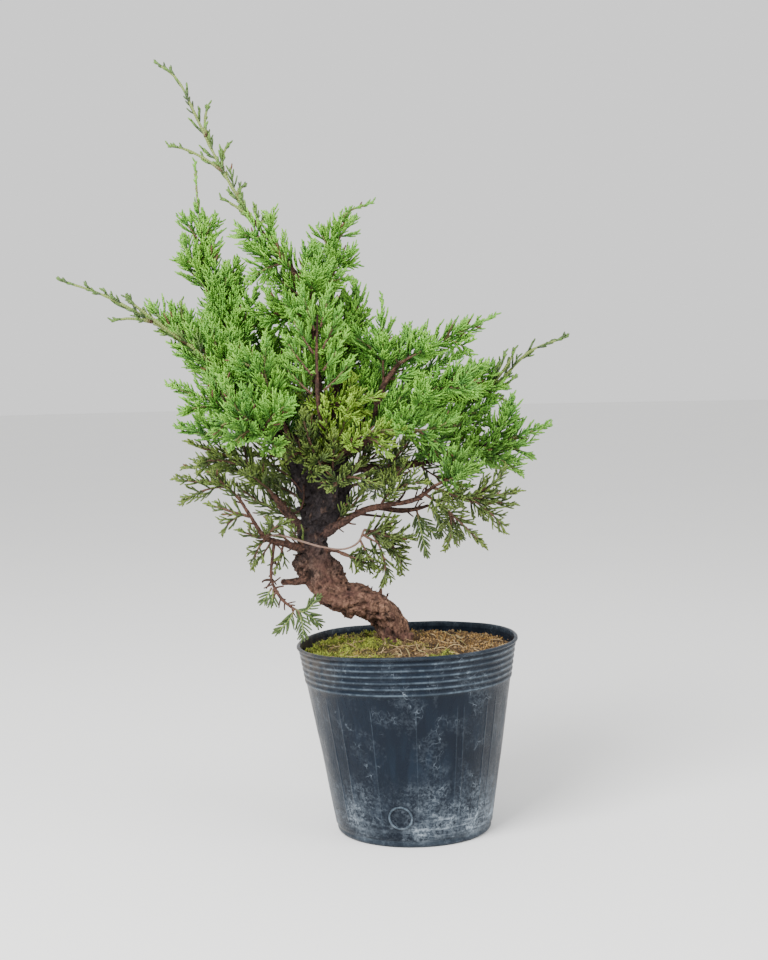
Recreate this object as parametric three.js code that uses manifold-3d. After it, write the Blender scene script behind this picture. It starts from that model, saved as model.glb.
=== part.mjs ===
// A young itoigawa juniper, trained as a bonsai, in its round nursery pot.
// Millimetres, +Z up. The origin is the middle of the pot's underside, +X is right, -Y is the tree's front.
import * as THREE from "three";
import { mergeVertices } from "three/addons/utils/BufferGeometryUtils.js";
import Module from "manifold-3d";

const wasm = await Module();
wasm.setup();

const seed = 20417;
const clearance = 0.35;
const quarterTurn = Math.PI / 2;
const fullTurn = 2 * Math.PI;

// The soft pot: radii and heights outside, the ribs under its rim, and how the filled pot leans and sags.
const pot = {
  sides: 36,
  height: 127,
  rimRadius: 75,
  rimDepth: 2.6,
  rimRounding: 0.4,
  rimWall: 73.4,
  baseRadius: 52.4,
  baseRounding: 2.4,
  cornerWall: 0.4,
  wall: 0.9,
  floor: 1.2,
  ribs: 6,
  ribDepth: 0.8,
  ribPitch: 3.9,
  ribCrest: 0.35,
  lean: 2.5,
  tilt: 1.8,
  squash: 0.5,
  squashWaves: 3,
  drains: 8,
  drainRadius: 4,
  drainCircle: 34,
  drainSides: 8,
  colour: 0x27303a,
  roughness: 0.45,
};

// The plain raised ring low on the pot's front.
const mark = { radius: 7.4, thickness: 0.8, height: 20.8, turn: -1.74, sides: 4, steps: 14 };

// The soil: the height of its top, the mound round the trunk, its fall to the back right, and its lumps.
const soil = {
  sides: 30,
  rings: [0, 0.2, 0.4, 0.6, 0.8, 1],
  top: 121.5,
  mound: 5.5,
  moundWidth: 40,
  fallRight: 1.6,
  fallBack: 3.4,
  lump: 0.9,
  lumpWaves: [0.19, 0.23, 0.31],
  colour: 0x6f6238,
  roughness: 0.95,
  holeTop: 147,
};

// Every limb of the tree: the points that it grows through, its radius from the first to the last of them,
// and the number of its sides.
const limbs = {
  trunk: {
    path: [
      [-1, 0, 87],
      [-2, 0, 104],
      [-2, 0, 119],
      [-7, -2, 134],
      [-17, -3, 147],
      [-32, -4, 155],
      [-47, -4, 163],
      [-57, -3, 173],
      [-63, 0, 184],
      [-65, 1, 196],
      [-64, 1, 208],
      [-59, 2, 221],
      [-53, 2, 235],
      [-51, 3, 248],
      [-52, 3, 262],
      [-56, 2, 279],
    ],
    radius: [10, 11, 12, 11.5, 12, 12.5, 13, 13.5, 12.5, 10, 9, 12, 12, 10.5, 7.5, 4.2],
    sides: 12,
  },
  leader: {
    path: [[-53, 2, 265], [-59, 0, 292], [-59, -4, 326], [-65, -4, 358], [-77, -4, 385], [-94, -4, 405]],
    radius: [5, 3.2, 2.3, 2, 1.7, 1.4],
    sides: 6,
  },
  burl: { path: [[-63, 0, 183], [-72, -2, 185], [-81, -4, 186]], radius: [9, 7.5, 4], sides: 7 },
  knob: { path: [[-57, -3, 174], [-44, -6, 180]], radius: [8, 4], sides: 6 },
  lower_knob: { path: [[-40, -4, 160], [-42, -6, 147]], radius: [9, 4], sides: 6 },
  stub: { path: [[-60, -4, 172], [-75, -8, 169], [-86, -10, 170]], radius: [4, 3, 2], sides: 5 },
  left_limb: {
    path: [[-51, 3, 243], [-69, 2, 250], [-82, 5, 260], [-95, 8, 273], [-106, 13, 292]],
    radius: [7, 6.5, 5.6, 4.5, 2.4],
    sides: 6,
  },
  long_left: {
    path: [[-87, 6, 264], [-105, 0, 284], [-120, -8, 303]],
    radius: [3.4, 2.6, 1.6],
    sides: 5,
  },
  mid_left: { path: [[-89, 6, 266], [-103, -16, 278]], radius: [2.6, 1.6], sides: 5 },
  front_left: { path: [[-79, 4, 257], [-88, -20, 266]], radius: [2.6, 1.6], sides: 5 },
  fork: { path: [[-75, 2, 255], [-81, -20, 277]], radius: [2.6, 1.6], sides: 5 },
  low_left: { path: [[-66, 1, 197], [-80, -3, 215], [-91, -5, 230]], radius: [3, 2.4, 1.6], sides: 5 },
  bottom_left: {
    path: [[-64, 0, 189], [-80, -12, 196], [-96, -16, 202], [-104, -16, 214], [-112, -14, 227]],
    radius: [2.2, 2, 1.8, 1.6, 1.3],
    sides: 5,
  },
  hanging_twig: {
    path: [[-90, -14, 199], [-91, -20, 190], [-92, -22, 174], [-85, -24, 161], [-79, -25, 156]],
    radius: [1.6, 1.4, 1.3, 1.2, 1],
    sides: 4,
  },
  crossing_twig: {
    path: [
      [-97, -16, 202],
      [-86, -24, 204],
      [-58, -27, 196],
      [-43, -24, 194],
      [-34, -22, 198],
      [-30, -20, 206],
    ],
    radius: [1.2, 1.1, 1, 0.9, 0.9, 0.9],
    sides: 4,
  },
  tuft_twig: {
    path: [[-63, 0, 187], [-53, -10, 192], [-44, -15, 190]],
    radius: [1.8, 1.4, 1.1],
    sides: 4,
  },
  right_low: {
    path: [[-64, 1, 198], [-43, -10, 211], [-31, -14, 218], [-16, -20, 222], [4, -26, 226], [17, -30, 235]],
    radius: [4, 3.2, 3, 2.6, 2, 1.4],
    sides: 5,
  },
  right_hang: {
    path: [[-22, -18, 221], [-6, -16, 218], [6, -16, 219], [13, -16, 221]],
    radius: [2.2, 1.8, 1.4, 1.2],
    sides: 4,
  },
  right_mid: {
    path: [[-52, 3, 241], [-32, 8, 245], [-5, 8, 246], [20, 4, 250]],
    radius: [4, 3.2, 2.6, 1.6],
    sides: 5,
  },
  far_right: {
    path: [[-52, 3, 250], [-22, 15, 264], [-1, 20, 271], [23, 22, 280]],
    radius: [4, 3, 2.4, 1.6],
    sides: 5,
  },
  front_right: {
    path: [[-51, 2, 253], [-38, -4, 259], [-18, -14, 268], [3, -26, 285]],
    radius: [3.6, 2.8, 2.3, 1.5],
    sides: 5,
  },
  upper_right: {
    path: [[-52, 3, 252], [-35, -3, 270], [-20, -7, 285], [-15, -10, 301], [-5, -12, 315]],
    radius: [4, 3.2, 2.7, 2.2, 1.5],
    sides: 5,
  },
  crown: { path: [[-53, 3, 261], [-49, 12, 285], [-46, 20, 319]], radius: [4, 3, 1.6], sides: 5 },
  bright_front: { path: [[-51, 1, 249], [-41, -18, 259]], radius: [2.4, 1.6], sides: 4 },
  trunk_front: { path: [[-52, 1, 235], [-47, -14, 238]], radius: [1.8, 1.4], sides: 4 },
  trunk_front_left: { path: [[-51, 2, 246], [-57, -11, 250]], radius: [1.8, 1.4], sides: 4 },
  back_left: { path: [[-52, 4, 250], [-75, 32, 264], [-90, 46, 274]], radius: [4, 2.8, 1.6], sides: 5 },
  back_right: {
    path: [[-52, 4, 254], [-36, 32, 265], [-22, 46, 274]],
    radius: [4, 2.8, 1.6],
    sides: 5,
  },
  back_up: { path: [[-53, 3, 264], [-58, 28, 292]], radius: [3, 1.6], sides: 5 },
  back_low_left: { path: [[-58, 2, 219], [-76, 30, 225]], radius: [3, 1.6], sides: 5 },
  back_low_right: { path: [[-54, 2, 230], [-38, 30, 232]], radius: [3, 1.6], sides: 5 },
  back_centre: { path: [[-51, 3, 245], [-50, 34, 258]], radius: [3, 1.6], sides: 5 },
};

// How a spray grows: the distance between its whorls of shoots, the length of the shoots and how much they
// shorten to the tip, their angle to the stem, how much they turn up to the light, the distance between the
// arms that it grows by rule and their length, and its colour.
const habits = {
  full: {
    whorl: 8.05,
    reach: 20,
    taper: 0.3,
    lean: 48,
    rise: 0.15,
    armSpacing: 17,
    armLength: 30,
    colour: 0x5f9140,
  },
  inner: {
    whorl: 7.6,
    reach: 17,
    taper: 0.4,
    lean: 46,
    rise: 0.1,
    armSpacing: 19,
    armLength: 27,
    colour: 0x456f3c,
  },
  bright: {
    whorl: 7.2,
    reach: 16,
    taper: 0.4,
    lean: 44,
    rise: 0.15,
    armSpacing: 18,
    armLength: 24,
    colour: 0x9cb552,
  },
  long: {
    whorl: 9,
    reach: 13,
    taper: 0.6,
    lean: 38,
    rise: 0.1,
    armSpacing: 0,
    armLength: 0,
    colour: 0x87935f,
  },
  hanging: {
    whorl: 7,
    reach: 10,
    taper: 0.4,
    lean: 42,
    rise: 0,
    armSpacing: 0,
    armLength: 0,
    colour: 0x5c7a42,
  },
};

// Every spray: its habit, the points of its stem, and the arms that reach a point of their own, each with the
// part of the stem that it leaves from.
const sprays = {
  leader_shoot: {
    habit: "long",
    stem: [[-94, -4, 405], [-108, -2, 426], [-126, 0, 460], [-134, 0, 478], [-148, 0, 507], [-162, 0, 520]],
    arms: [
      [0.06, [-119, -10, 428]],
      [0.03, [-91, 5, 424]],
      [0.4, [-151, -8, 462]],
      [0.42, [-116, 6, 472]],
      [0.6, [-127, 5, 498]],
    ],
  },
  leader_left: {
    habit: "full",
    stem: [[-75, -4, 381], [-100, -12, 393]],
    arms: [[0.2, [-98, -16, 374]]],
  },
  leader_right: {
    habit: "full",
    stem: [[-64, -4, 352], [-56, -12, 388]],
    arms: [[0.3, [-40, -14, 372]]],
  },
  leader_mid: { habit: "full", stem: [[-61, -4, 342], [-90, -20, 364]], arms: [[0.3, [-90, -8, 344]]] },
  leader_back: { habit: "full", stem: [[-60, -2, 322], [-66, 24, 362]], arms: [] },
  front_stem_left: { habit: "full", stem: [[-59, -2, 305], [-72, -26, 336]], arms: [] },
  front_stem_right: { habit: "full", stem: [[-59, -3, 315], [-44, -22, 344]], arms: [] },
  bright_right: {
    habit: "bright",
    stem: [[-58, 1, 288], [-41, -22, 291], [-18, -30, 294]],
    arms: [[0.33, [-34, -34, 280]], [0.45, [-36, -26, 305]]],
  },
  centre_left: { habit: "full", stem: [[-94, 7, 272], [-84, -12, 303], [-78, -18, 322]], arms: [] },
  centre_back: { habit: "full", stem: [[-86, 6, 263], [-84, 26, 296], [-84, 32, 318]], arms: [] },
  centre_low: { habit: "inner", stem: [[-66, 2, 249], [-72, -22, 258], [-80, -42, 254]], arms: [] },
  crown_tip: {
    habit: "full",
    stem: [[-46, 20, 319], [-47, 20, 349], [-49, 18, 380], [-46, 16, 403], [-37, 15, 418], [-24, 15, 423]],
    arms: [[0.5, [-63, 6, 395]], [0.55, [-32, 24, 396]]],
  },
  crown_front: { habit: "full", stem: [[-47, 16, 303], [-50, -8, 340], [-51, -12, 362]], arms: [] },
  crown_right: { habit: "full", stem: [[-46, 19, 315], [-26, 12, 348]], arms: [] },
  column_tip: {
    habit: "full",
    stem: [
      [-106, 13, 292],
      [-115, 18, 319],
      [-123, 22, 342],
      [-130, 24, 360],
      [-139, 25, 384],
      [-139, 25, 406],
      [-140, 25, 426],
      [-140, 25, 451],
    ],
    arms: [[0.32, [-108, 14, 386]], [0.2, [-92, 2, 350]]],
  },
  left_shoot: {
    habit: "long",
    stem: [
      [-120, -8, 303],
      [-136, -16, 325],
      [-158, -20, 341],
      [-180, -22, 355],
      [-199, -24, 365],
      [-228, -24, 375],
    ],
    arms: [[0.25, [-148, -10, 357]], [0.3, [-179, -34, 363]], [0.15, [-152, -32, 322]]],
  },
  left_up: { habit: "full", stem: [[-112, -4, 293], [-124, -14, 325], [-130, -16, 350]], arms: [] },
  left_mid: {
    habit: "full",
    stem: [[-103, -16, 278], [-120, -34, 291], [-150, -42, 303]],
    arms: [[0.4, [-141, -54, 288]]],
  },
  left_mid_low: { habit: "full", stem: [[-97, -8, 272], [-118, -20, 270], [-148, -26, 276]], arms: [] },
  front_left_tip: {
    habit: "full",
    stem: [[-88, -20, 266], [-98, -44, 277], [-107, -58, 287], [-115, -71, 306]],
    arms: [[0.35, [-111, -70, 266]], [0.25, [-76, -60, 291]]],
  },
  fork_up: {
    habit: "full",
    stem: [[-81, -20, 277], [-86, -32, 293], [-91, -40, 307], [-90, -50, 332]],
    arms: [[0.3, [-110, -46, 325]]],
  },
  low_left_tip: {
    habit: "inner",
    stem: [[-91, -5, 230], [-112, -10, 252], [-143, -14, 265]],
    arms: [[0.25, [-149, 8, 248]], [0.4, [-134, -30, 254]]],
  },
  bottom_left_tip: {
    habit: "full",
    stem: [[-112, -14, 227], [-123, -12, 237], [-152, -12, 241]],
    arms: [[0.3, [-149, -8, 227]]],
  },
  bottom_left_mid: {
    habit: "full",
    stem: [[-106, -16, 216], [-129, -22, 224]],
    arms: [[0.2, [-122, -16, 209]]],
  },
  bottom_left_tuft: {
    habit: "full",
    stem: [[-92, -15, 200], [-109, -30, 207]],
    arms: [[0.2, [-82, -34, 213]], [0.2, [-103, -24, 187]]],
  },
  hanging: {
    habit: "hanging",
    stem: [[-79, -25, 156], [-71, -27, 153], [-61, -30, 163]],
    arms: [[0.2, [-72, -29, 136]], [0.08, [-89, -31, 141]], [0.35, [-61, -24, 144]]],
  },
  lower_right_tuft: {
    habit: "inner",
    stem: [[-30, -20, 206], [0, -24, 200]],
    arms: [[0.4, [-6, -26, 182]], [0.15, [-17, -28, 174]]],
  },
  trunk_tuft: {
    habit: "inner",
    stem: [[-44, -15, 190], [-29, -20, 176]],
    arms: [[0.2, [-40, -22, 174]]],
  },
  right_low_tip: {
    habit: "full",
    stem: [[17, -30, 235], [44, -40, 248]],
    arms: [[0.2, [30, -44, 256]]],
  },
  right_low_out: {
    habit: "full",
    stem: [[15, -29, 234], [40, -32, 227], [69, -34, 230]],
    arms: [[0.45, [60, -38, 208]], [0.45, [62, -28, 243]]],
  },
  right_low_tuft: {
    habit: "inner",
    stem: [[-19, -18, 221], [-3, -30, 249]],
    arms: [[0.3, [9, -38, 238]]],
  },
  right_low_under: {
    habit: "inner",
    stem: [[10, -27, 230], [23, -34, 221], [46, -36, 198]],
    arms: [[0.43, [25, -38, 198]]],
  },
  hang_inner: { habit: "hanging", stem: [[5, -16, 219], [11, -20, 189]], arms: [] },
  hang_outer: {
    habit: "hanging",
    stem: [[13, -16, 221], [35, -14, 199]],
    arms: [[0.3, [21, -6, 199]]],
  },
  right_tip: {
    habit: "full",
    stem: [[20, 4, 250], [39, 0, 255], [66, -5, 263], [91, -8, 271]],
    arms: [[0.45, [71, -4, 288]], [0.3, [72, -16, 243]]],
  },
  right_mid_front: { habit: "inner", stem: [[-14, 8, 246], [-5, -8, 256], [3, -14, 266]], arms: [] },
  right_up: { habit: "full", stem: [[8, 6, 247], [22, -8, 266], [32, -14, 282]], arms: [] },
  far_right_shoot: {
    habit: "long",
    stem: [[23, 22, 280], [44, 20, 288], [65, 18, 303], [85, 16, 322], [112, 15, 332]],
    arms: [[0.2, [45, 10, 316]], [0.35, [68, 28, 322]], [0.3, [69, 12, 288]]],
  },
  far_right_in: { habit: "full", stem: [[2, 20, 272], [24, 8, 296], [36, 4, 308]], arms: [] },
  front_right_tip: {
    habit: "full",
    stem: [[3, -26, 285], [16, -34, 297], [48, -46, 313]],
    arms: [[0.4, [41, -58, 296]]],
  },
  front_right_low: { habit: "full", stem: [[-10, -19, 275], [12, -38, 272], [28, -48, 278]], arms: [] },
  upper_right_shoot: {
    habit: "full",
    stem: [[-5, -12, 315], [10, -14, 323], [30, -14, 333], [56, -14, 344]],
    arms: [[0.1, [2, -4, 348]], [0.5, [38, -26, 327]]],
  },
  upper_right_in: {
    habit: "full",
    stem: [[-15, -10, 302], [-15, -4, 331], [-15, -2, 356]],
    arms: [[0.26, [-34, -18, 333]]],
  },
  bright_front_tip: {
    habit: "bright",
    stem: [[-41, -18, 259], [-26, -34, 271], [-5, -46, 273]],
    arms: [[0.4, [-13, -46, 258]]],
  },
  trunk_front_tip: {
    habit: "inner",
    stem: [[-47, -14, 238], [-38, -28, 242], [-22, -38, 238]],
    arms: [],
  },
  trunk_front_left_tip: {
    habit: "inner",
    stem: [[-57, -11, 250], [-63, -26, 262], [-68, -36, 282]],
    arms: [],
  },
  back_left_tip: { habit: "full", stem: [[-90, 46, 274], [-115, 70, 291], [-134, 84, 307]], arms: [] },
  back_right_tip: { habit: "full", stem: [[-22, 46, 274], [4, 68, 288], [22, 82, 300]], arms: [] },
  back_right_up: { habit: "full", stem: [[-30, 38, 269], [-14, 48, 300], [-4, 52, 326]], arms: [] },
  back_left_up: { habit: "full", stem: [[-80, 37, 268], [-106, 48, 304], [-112, 54, 336]], arms: [] },
  back_up_tip: { habit: "full", stem: [[-58, 28, 292], [-62, 46, 325], [-68, 54, 358]], arms: [] },
  back_up_out: { habit: "full", stem: [[-56, 20, 283], [-42, 50, 305], [-34, 64, 328]], arms: [] },
  back_low_left_tip: {
    habit: "inner",
    stem: [[-76, 30, 225], [-96, 56, 235], [-118, 80, 245]],
    arms: [],
  },
  back_low_right_tip: {
    habit: "inner",
    stem: [[-38, 30, 232], [-17, 56, 235], [5, 78, 243]],
    arms: [],
  },
  back_centre_tip: { habit: "full", stem: [[-50, 34, 258], [-49, 66, 275], [-46, 94, 296]], arms: [] },
  back_centre_low: { habit: "inner", stem: [[-50, 26, 255], [-64, 56, 262], [-78, 80, 270]], arms: [] },
};

// The slim stem that the shoots of a spray stand on, how its arms leave it, and how its shoots vary and find
// room.
const stem = {
  sides: 3,
  radius: 1.3,
  tipRadius: 0.8,
  tipLength: 7,
  armRadius: 1.1,
  armFootRadius: 0.55,
  armBow: 0.22,
  armFoot: 2,
  armFrom: 5,
  armEnd: 7,
  armLean: 48,
  armTurn: 2.4,
  armShrink: 0.35,
  lengthJitter: 0.22,
  turnJitter: 0.14,
  seatStep: 0.25,
  sharedFoot: 0.25,
  neighbourGap: 0.1,
  turns: [0, 0.45, -0.45],
  shortenings: [1, 0.72, 0.5],
  roughness: 0.75,
};

// The trunk's bark: the height and number of its lumps round it, how they wind up it, and where they begin.
const bark = { lump: 0.09, waves: [2, 3, 5], climb: 0.17, from: 130, colour: 0x5b4437, roughness: 0.9 };
const ringSpacing = { trunk: 9, limb: 14 };
const searchSteps = 60;

const toVector = (point) => new THREE.Vector3(...point);
const evenParts = (count) => Array.from({ length: count + 1 }, (_, i) => i / count);

// The lean and sag of the filled pot, none of it at the base: both the pot and its soil follow it.
function settle(point) {
  const rise = point.z / pot.height;
  const angle = Math.atan2(point.y, point.x);
  point.z += pot.tilt * (point.x / pot.rimRadius) * rise ** 2;
  point.z += pot.squash * Math.sin(pot.squashWaves * angle) * rise ** 4;
  point.x -= pot.lean * rise;
  return point;
}

function reshape(geometry, change) {
  const place = geometry.getAttribute("position");
  const point = new THREE.Vector3();
  for (let i = 0; i < place.count; i++) {
    change(point.fromBufferAttribute(place, i));
    place.setXYZ(i, point.x, point.y, point.z);
  }
  return geometry;
}

function toSolid(geometry) {
  geometry.deleteAttribute("normal");
  geometry.deleteAttribute("uv");
  const merged = mergeVertices(geometry);
  return new wasm.Manifold(
    new wasm.Mesh({
      numProp: 3,
      vertProperties: merged.getAttribute("position").array,
      triVerts: new Uint32Array(merged.index.array),
    }),
  );
}

function toGeometry(solid) {
  const { vertProperties, triVerts } = solid.getMesh();
  const geometry = new THREE.BufferGeometry();
  geometry.setAttribute("position", new THREE.BufferAttribute(vertProperties, 3));
  geometry.setIndex(new THREE.BufferAttribute(triVerts, 1));
  geometry.computeVertexNormals();
  return geometry;
}

// A profile of [radius, height] points turned round the Z axis.
function revolve(profile, sides) {
  const points = profile.map(([radius, height]) => new THREE.Vector2(radius, height));
  return new THREE.LatheGeometry(points, sides).rotateX(quarterTurn);
}

// The pot's outer radius at a height of its plain wall.
function wallRadius(height) {
  return THREE.MathUtils.mapLinear(height, 0, pot.height, pot.baseRadius, pot.rimWall);
}

// The slanted corner inside, where the wall meets the floor.
function floorCorner() {
  const top = pot.floor + pot.baseRounding;
  const radius = pot.baseRadius - pot.baseRounding - pot.cornerWall;
  return { top, wallRadius: wallRadius(top) - pot.wall, radius };
}

function potProfile() {
  const { height, rimRadius, rimDepth, rimRounding, wall, floor, baseRounding } = pot;
  const { ribs, ribDepth, ribPitch, ribCrest } = pot;
  const ribFoot = height - rimDepth - ribs * ribPitch;
  const ribPoints = evenParts(ribs).slice(1).flatMap((_, rib) => {
    const foot = ribFoot + rib * ribPitch;
    const top = foot + ribPitch;
    return [[wallRadius(foot) + ribDepth, foot + ribCrest * ribPitch], [wallRadius(top), top]];
  });
  const rimInner = wallRadius(height) - wall;
  const corner = floorCorner();
  return [
    [0, 0],
    [wallRadius(0) - baseRounding, 0],
    [wallRadius(0), baseRounding],
    [wallRadius(ribFoot), ribFoot],
    ...ribPoints,
    [rimRadius, height - rimDepth + 2 * rimRounding],
    [rimRadius - rimRounding, height - rimRounding],
    [rimInner + rimRounding, height],
    [rimInner, height - rimRounding],
    [corner.wallRadius, corner.top],
    [corner.radius, floor],
    [0, floor],
  ];
}

// The ring is drawn flat as a torus and then bent round the pot's wall.
function markGeometry() {
  const ring = new THREE.TorusGeometry(mark.radius, mark.thickness, mark.sides, mark.steps);
  return reshape(ring, (point) => {
    const height = mark.height + point.y;
    const angle = mark.turn + point.x / wallRadius(height);
    const radius = wallRadius(height) + point.z;
    settle(point.set(radius * Math.cos(angle), radius * Math.sin(angle), height));
  });
}

function potSolid() {
  const { drains, drainRadius, drainCircle, drainSides, floor } = pot;
  let solid = toSolid(reshape(revolve(potProfile(), pot.sides), settle));
  for (let drain = 0; drain < drains; drain++) {
    const angle = (fullTurn * (drain + 0.5)) / drains;
    const hole = new THREE.CylinderGeometry(drainRadius, drainRadius, 4 * floor, drainSides);
    hole.rotateX(quarterTurn);
    hole.translate(drainCircle * Math.cos(angle), drainCircle * Math.sin(angle), floor / 2);
    solid = solid.subtract(toSolid(hole));
  }
  return solid.add(toSolid(markGeometry()));
}

function soilHeight(x, y) {
  const [waveX, waveY, waveBoth] = soil.lumpWaves;
  const mound = soil.mound * Math.exp(-(x ** 2 + y ** 2) / soil.moundWidth ** 2);
  const fall = (soil.fallRight * x + soil.fallBack * y) / pot.rimRadius;
  const lumps = Math.sin(waveX * x + 1) * Math.cos(waveY * y) + Math.sin(waveBoth * (x + y)) / 2;
  return soil.top + mound - fall + soil.lump * lumps;
}

// The soil fills the pot to a gap from its wall and floor. Its top is raised over rings of a lathe's points.
function soilGeometry() {
  const bottom = pot.floor + clearance;
  const corner = floorCorner();
  const foot = [corner.radius - clearance / 2, bottom];
  const side = [corner.wallRadius - clearance, corner.top + clearance / 2];
  const topRadius = wallRadius(soil.top) - pot.wall - clearance;
  const top = soil.rings.map((part) => [part * topRadius, soil.top]).reverse();
  const geometry = revolve([[0, bottom], foot, side, ...top], soil.sides);
  return reshape(geometry, (point) => {
    if (point.z > pot.height / 2) {
      const height = soilHeight(point.x, point.y);
      const part = Math.hypot(point.x, point.y) / topRadius;
      const spread = 1 + (part * (wallRadius(height) - wallRadius(soil.top))) / topRadius;
      point.set(point.x * spread, point.y * spread, height);
    }
    settle(point);
  });
}

// A radius along a limb or stem, from a list of radii at even parts of it.
function radiusAlong(radii, part) {
  const place = THREE.MathUtils.clamp(part, 0, 1) * (radii.length - 1);
  const index = Math.min(Math.floor(place), radii.length - 2);
  return THREE.MathUtils.lerp(radii[index], radii[index + 1], place - index);
}

// Rings of corners round a curve at the given parts of its length. Each ring is turned against the last.
function ringsAlong(curve, parts, radiusAt, sides, turn) {
  const side = new THREE.Vector3(0, -1, 0);
  return parts.map((part, step) => {
    const centre = curve.getPointAt(part);
    const along = curve.getTangentAt(part).normalize();
    side.addScaledVector(along, -side.dot(along)).normalize();
    const corners = [];
    for (let i = 0; i < sides; i++) {
      const angle = step * turn + (i * fullTurn) / sides;
      const arm = side.clone().applyAxisAngle(along, angle);
      corners.push(arm.multiplyScalar(radiusAt(part, angle, centre)).add(centre));
    }
    return { centre, along, corners, part };
  });
}

// A closed skin over the rings. It may end in a point, and any triangle of its side may be raised to an apex.
function skinOver(rings, tip, apexFor) {
  const sides = rings[0].corners.length;
  const points = rings.flatMap((ring) => ring.corners);
  const faces = [];
  rings.slice(1).forEach((ring, band) => {
    for (let i = 0; i < sides; i++) {
      const next = (i + 1) % sides;
      const [a, b] = [band * sides + i, band * sides + next];
      const [c, d] = [a + sides, b + sides];
      for (const face of [[a, b, c], [c, b, d]]) {
        const apex = apexFor && apexFor(band, face.map((corner) => points[corner]));
        if (!apex) {
          faces.push(face);
          continue;
        }
        const top = points.push(apex) - 1;
        face.forEach((corner, k) => faces.push([corner, face[(k + 1) % face.length], top]));
      }
    }
  });
  const last = (rings.length - 1) * sides;
  for (let i = 1; i < sides - 1; i++) {
    faces.push([0, i + 1, i]);
    if (!tip) faces.push([last, last + i, last + i + 1]);
  }
  if (tip) {
    const top = points.push(tip) - 1;
    for (let i = 0; i < sides; i++) faces.push([last + i, last + ((i + 1) % sides), top]);
  }
  const geometry = new THREE.BufferGeometry().setFromPoints(points);
  return geometry.setIndex(faces.flat());
}

// A convex piece of space that something takes up: its corners, the stem and the spray that it belongs to,
// and the band of the stem that it stands on.
function pieceOf(owner, spray, corners, band = -1) {
  const centre = corners.reduce((sum, corner) => sum.add(corner), new THREE.Vector3());
  centre.divideScalar(corners.length);
  const radius = Math.max(...corners.map((corner) => corner.distanceTo(centre)));
  return { owner, spray, band, corners, centre, radius };
}

function bandPieces(rings, owner, spray) {
  const bands = rings.slice(1);
  return bands.map((ring, band) => pieceOf(owner, spray, [...rings[band].corners, ...ring.corners], band));
}

function furthest(corners, direction) {
  let best = corners[0];
  for (const corner of corners) {
    if (corner.dot(direction) > best.dot(direction)) best = corner;
  }
  return best;
}

// Whether two convex pieces lie a gap apart. It steps towards the nearest point of their difference, until a
// plane with that gap parts them.
function apart(one, other, gap) {
  const between = one.centre.clone().sub(other.centre);
  if (between.length() > one.radius + other.radius + gap) return true;
  for (let step = 0; step < searchSteps; step++) {
    const length = between.length();
    if (length < gap) return false;
    const nearest = furthest(one.corners, between.clone().negate()).clone();
    nearest.sub(furthest(other.corners, between));
    if (nearest.dot(between) >= gap * length) return true;
    const back = between.clone().sub(nearest);
    const share = THREE.MathUtils.clamp(between.dot(back) / back.lengthSq(), 0, 1);
    between.addScaledVector(back, -share);
  }
  return false;
}

const taken = [];

// The pot's upper wall as pieces, for the low sprays to keep clear of.
function rimPieces() {
  const low = pot.height - 2 * pot.ribPitch;
  const places = [low, pot.height].flatMap((height) => [
    [pot.rimRadius, height],
    [wallRadius(height) - pot.wall, height],
  ]);
  const corner = (part, [radius, height]) => {
    const angle = part * fullTurn;
    return settle(new THREE.Vector3(radius * Math.cos(angle), radius * Math.sin(angle), height));
  };
  const parts = evenParts(pot.sides);
  return parts.slice(1).map((part, i) => {
    const corners = places.flatMap((place) => [corner(parts[i], place), corner(part, place)]);
    return pieceOf("pot", "pot", corners);
  });
}

// The rings of a limb, with lumps of bark on the trunk above the soil. It may be grown by a margin.
function limbRings(name, margin) {
  const { path, radius, sides } = limbs[name];
  const curve = new THREE.CatmullRomCurve3(path.map(toVector), false, "centripetal");
  const spacing = ringSpacing[name] || ringSpacing.limb;
  const count = Math.max(path.length - 1, Math.round(curve.getLength() / spacing));
  const [once, twice, often] = bark.waves;
  const radiusAt = (part, angle, centre) => {
    const plain = radiusAlong(radius, curve.getUtoTmapping(part)) + margin;
    if (name !== "trunk" || centre.z < bark.from) return plain;
    const climb = bark.climb * centre.z;
    const wave = Math.sin(once * angle + climb) + Math.sin(twice * angle - climb);
    return plain * (1 + bark.lump * (wave + Math.sin(often * angle + centre.z) / 2));
  };
  return ringsAlong(curve, evenParts(count), radiusAt, sides, 0);
}

// Each limb is a tapering tube whose foot is sunk in the one that it grows from.
function woodSolid() {
  const grown = Object.keys(limbs).map((name) => {
    const rings = limbRings(name, 0);
    taken.push(...bandPieces(rings, "wood", "wood"));
    return toSolid(skinOver(rings));
  });
  return grown.reduce((sum, limb) => sum.add(limb));
}

// The hole that the trunk's foot stands in: the foot itself, grown by the clearance and carried down by it.
function footHole() {
  const rings = limbRings("trunk", clearance).filter((ring) => ring.centre.z < soil.holeTop);
  rings[0].corners.forEach((corner) => corner.addScaledVector(rings[0].along, -clearance));
  return toSolid(skinOver(rings));
}

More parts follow.
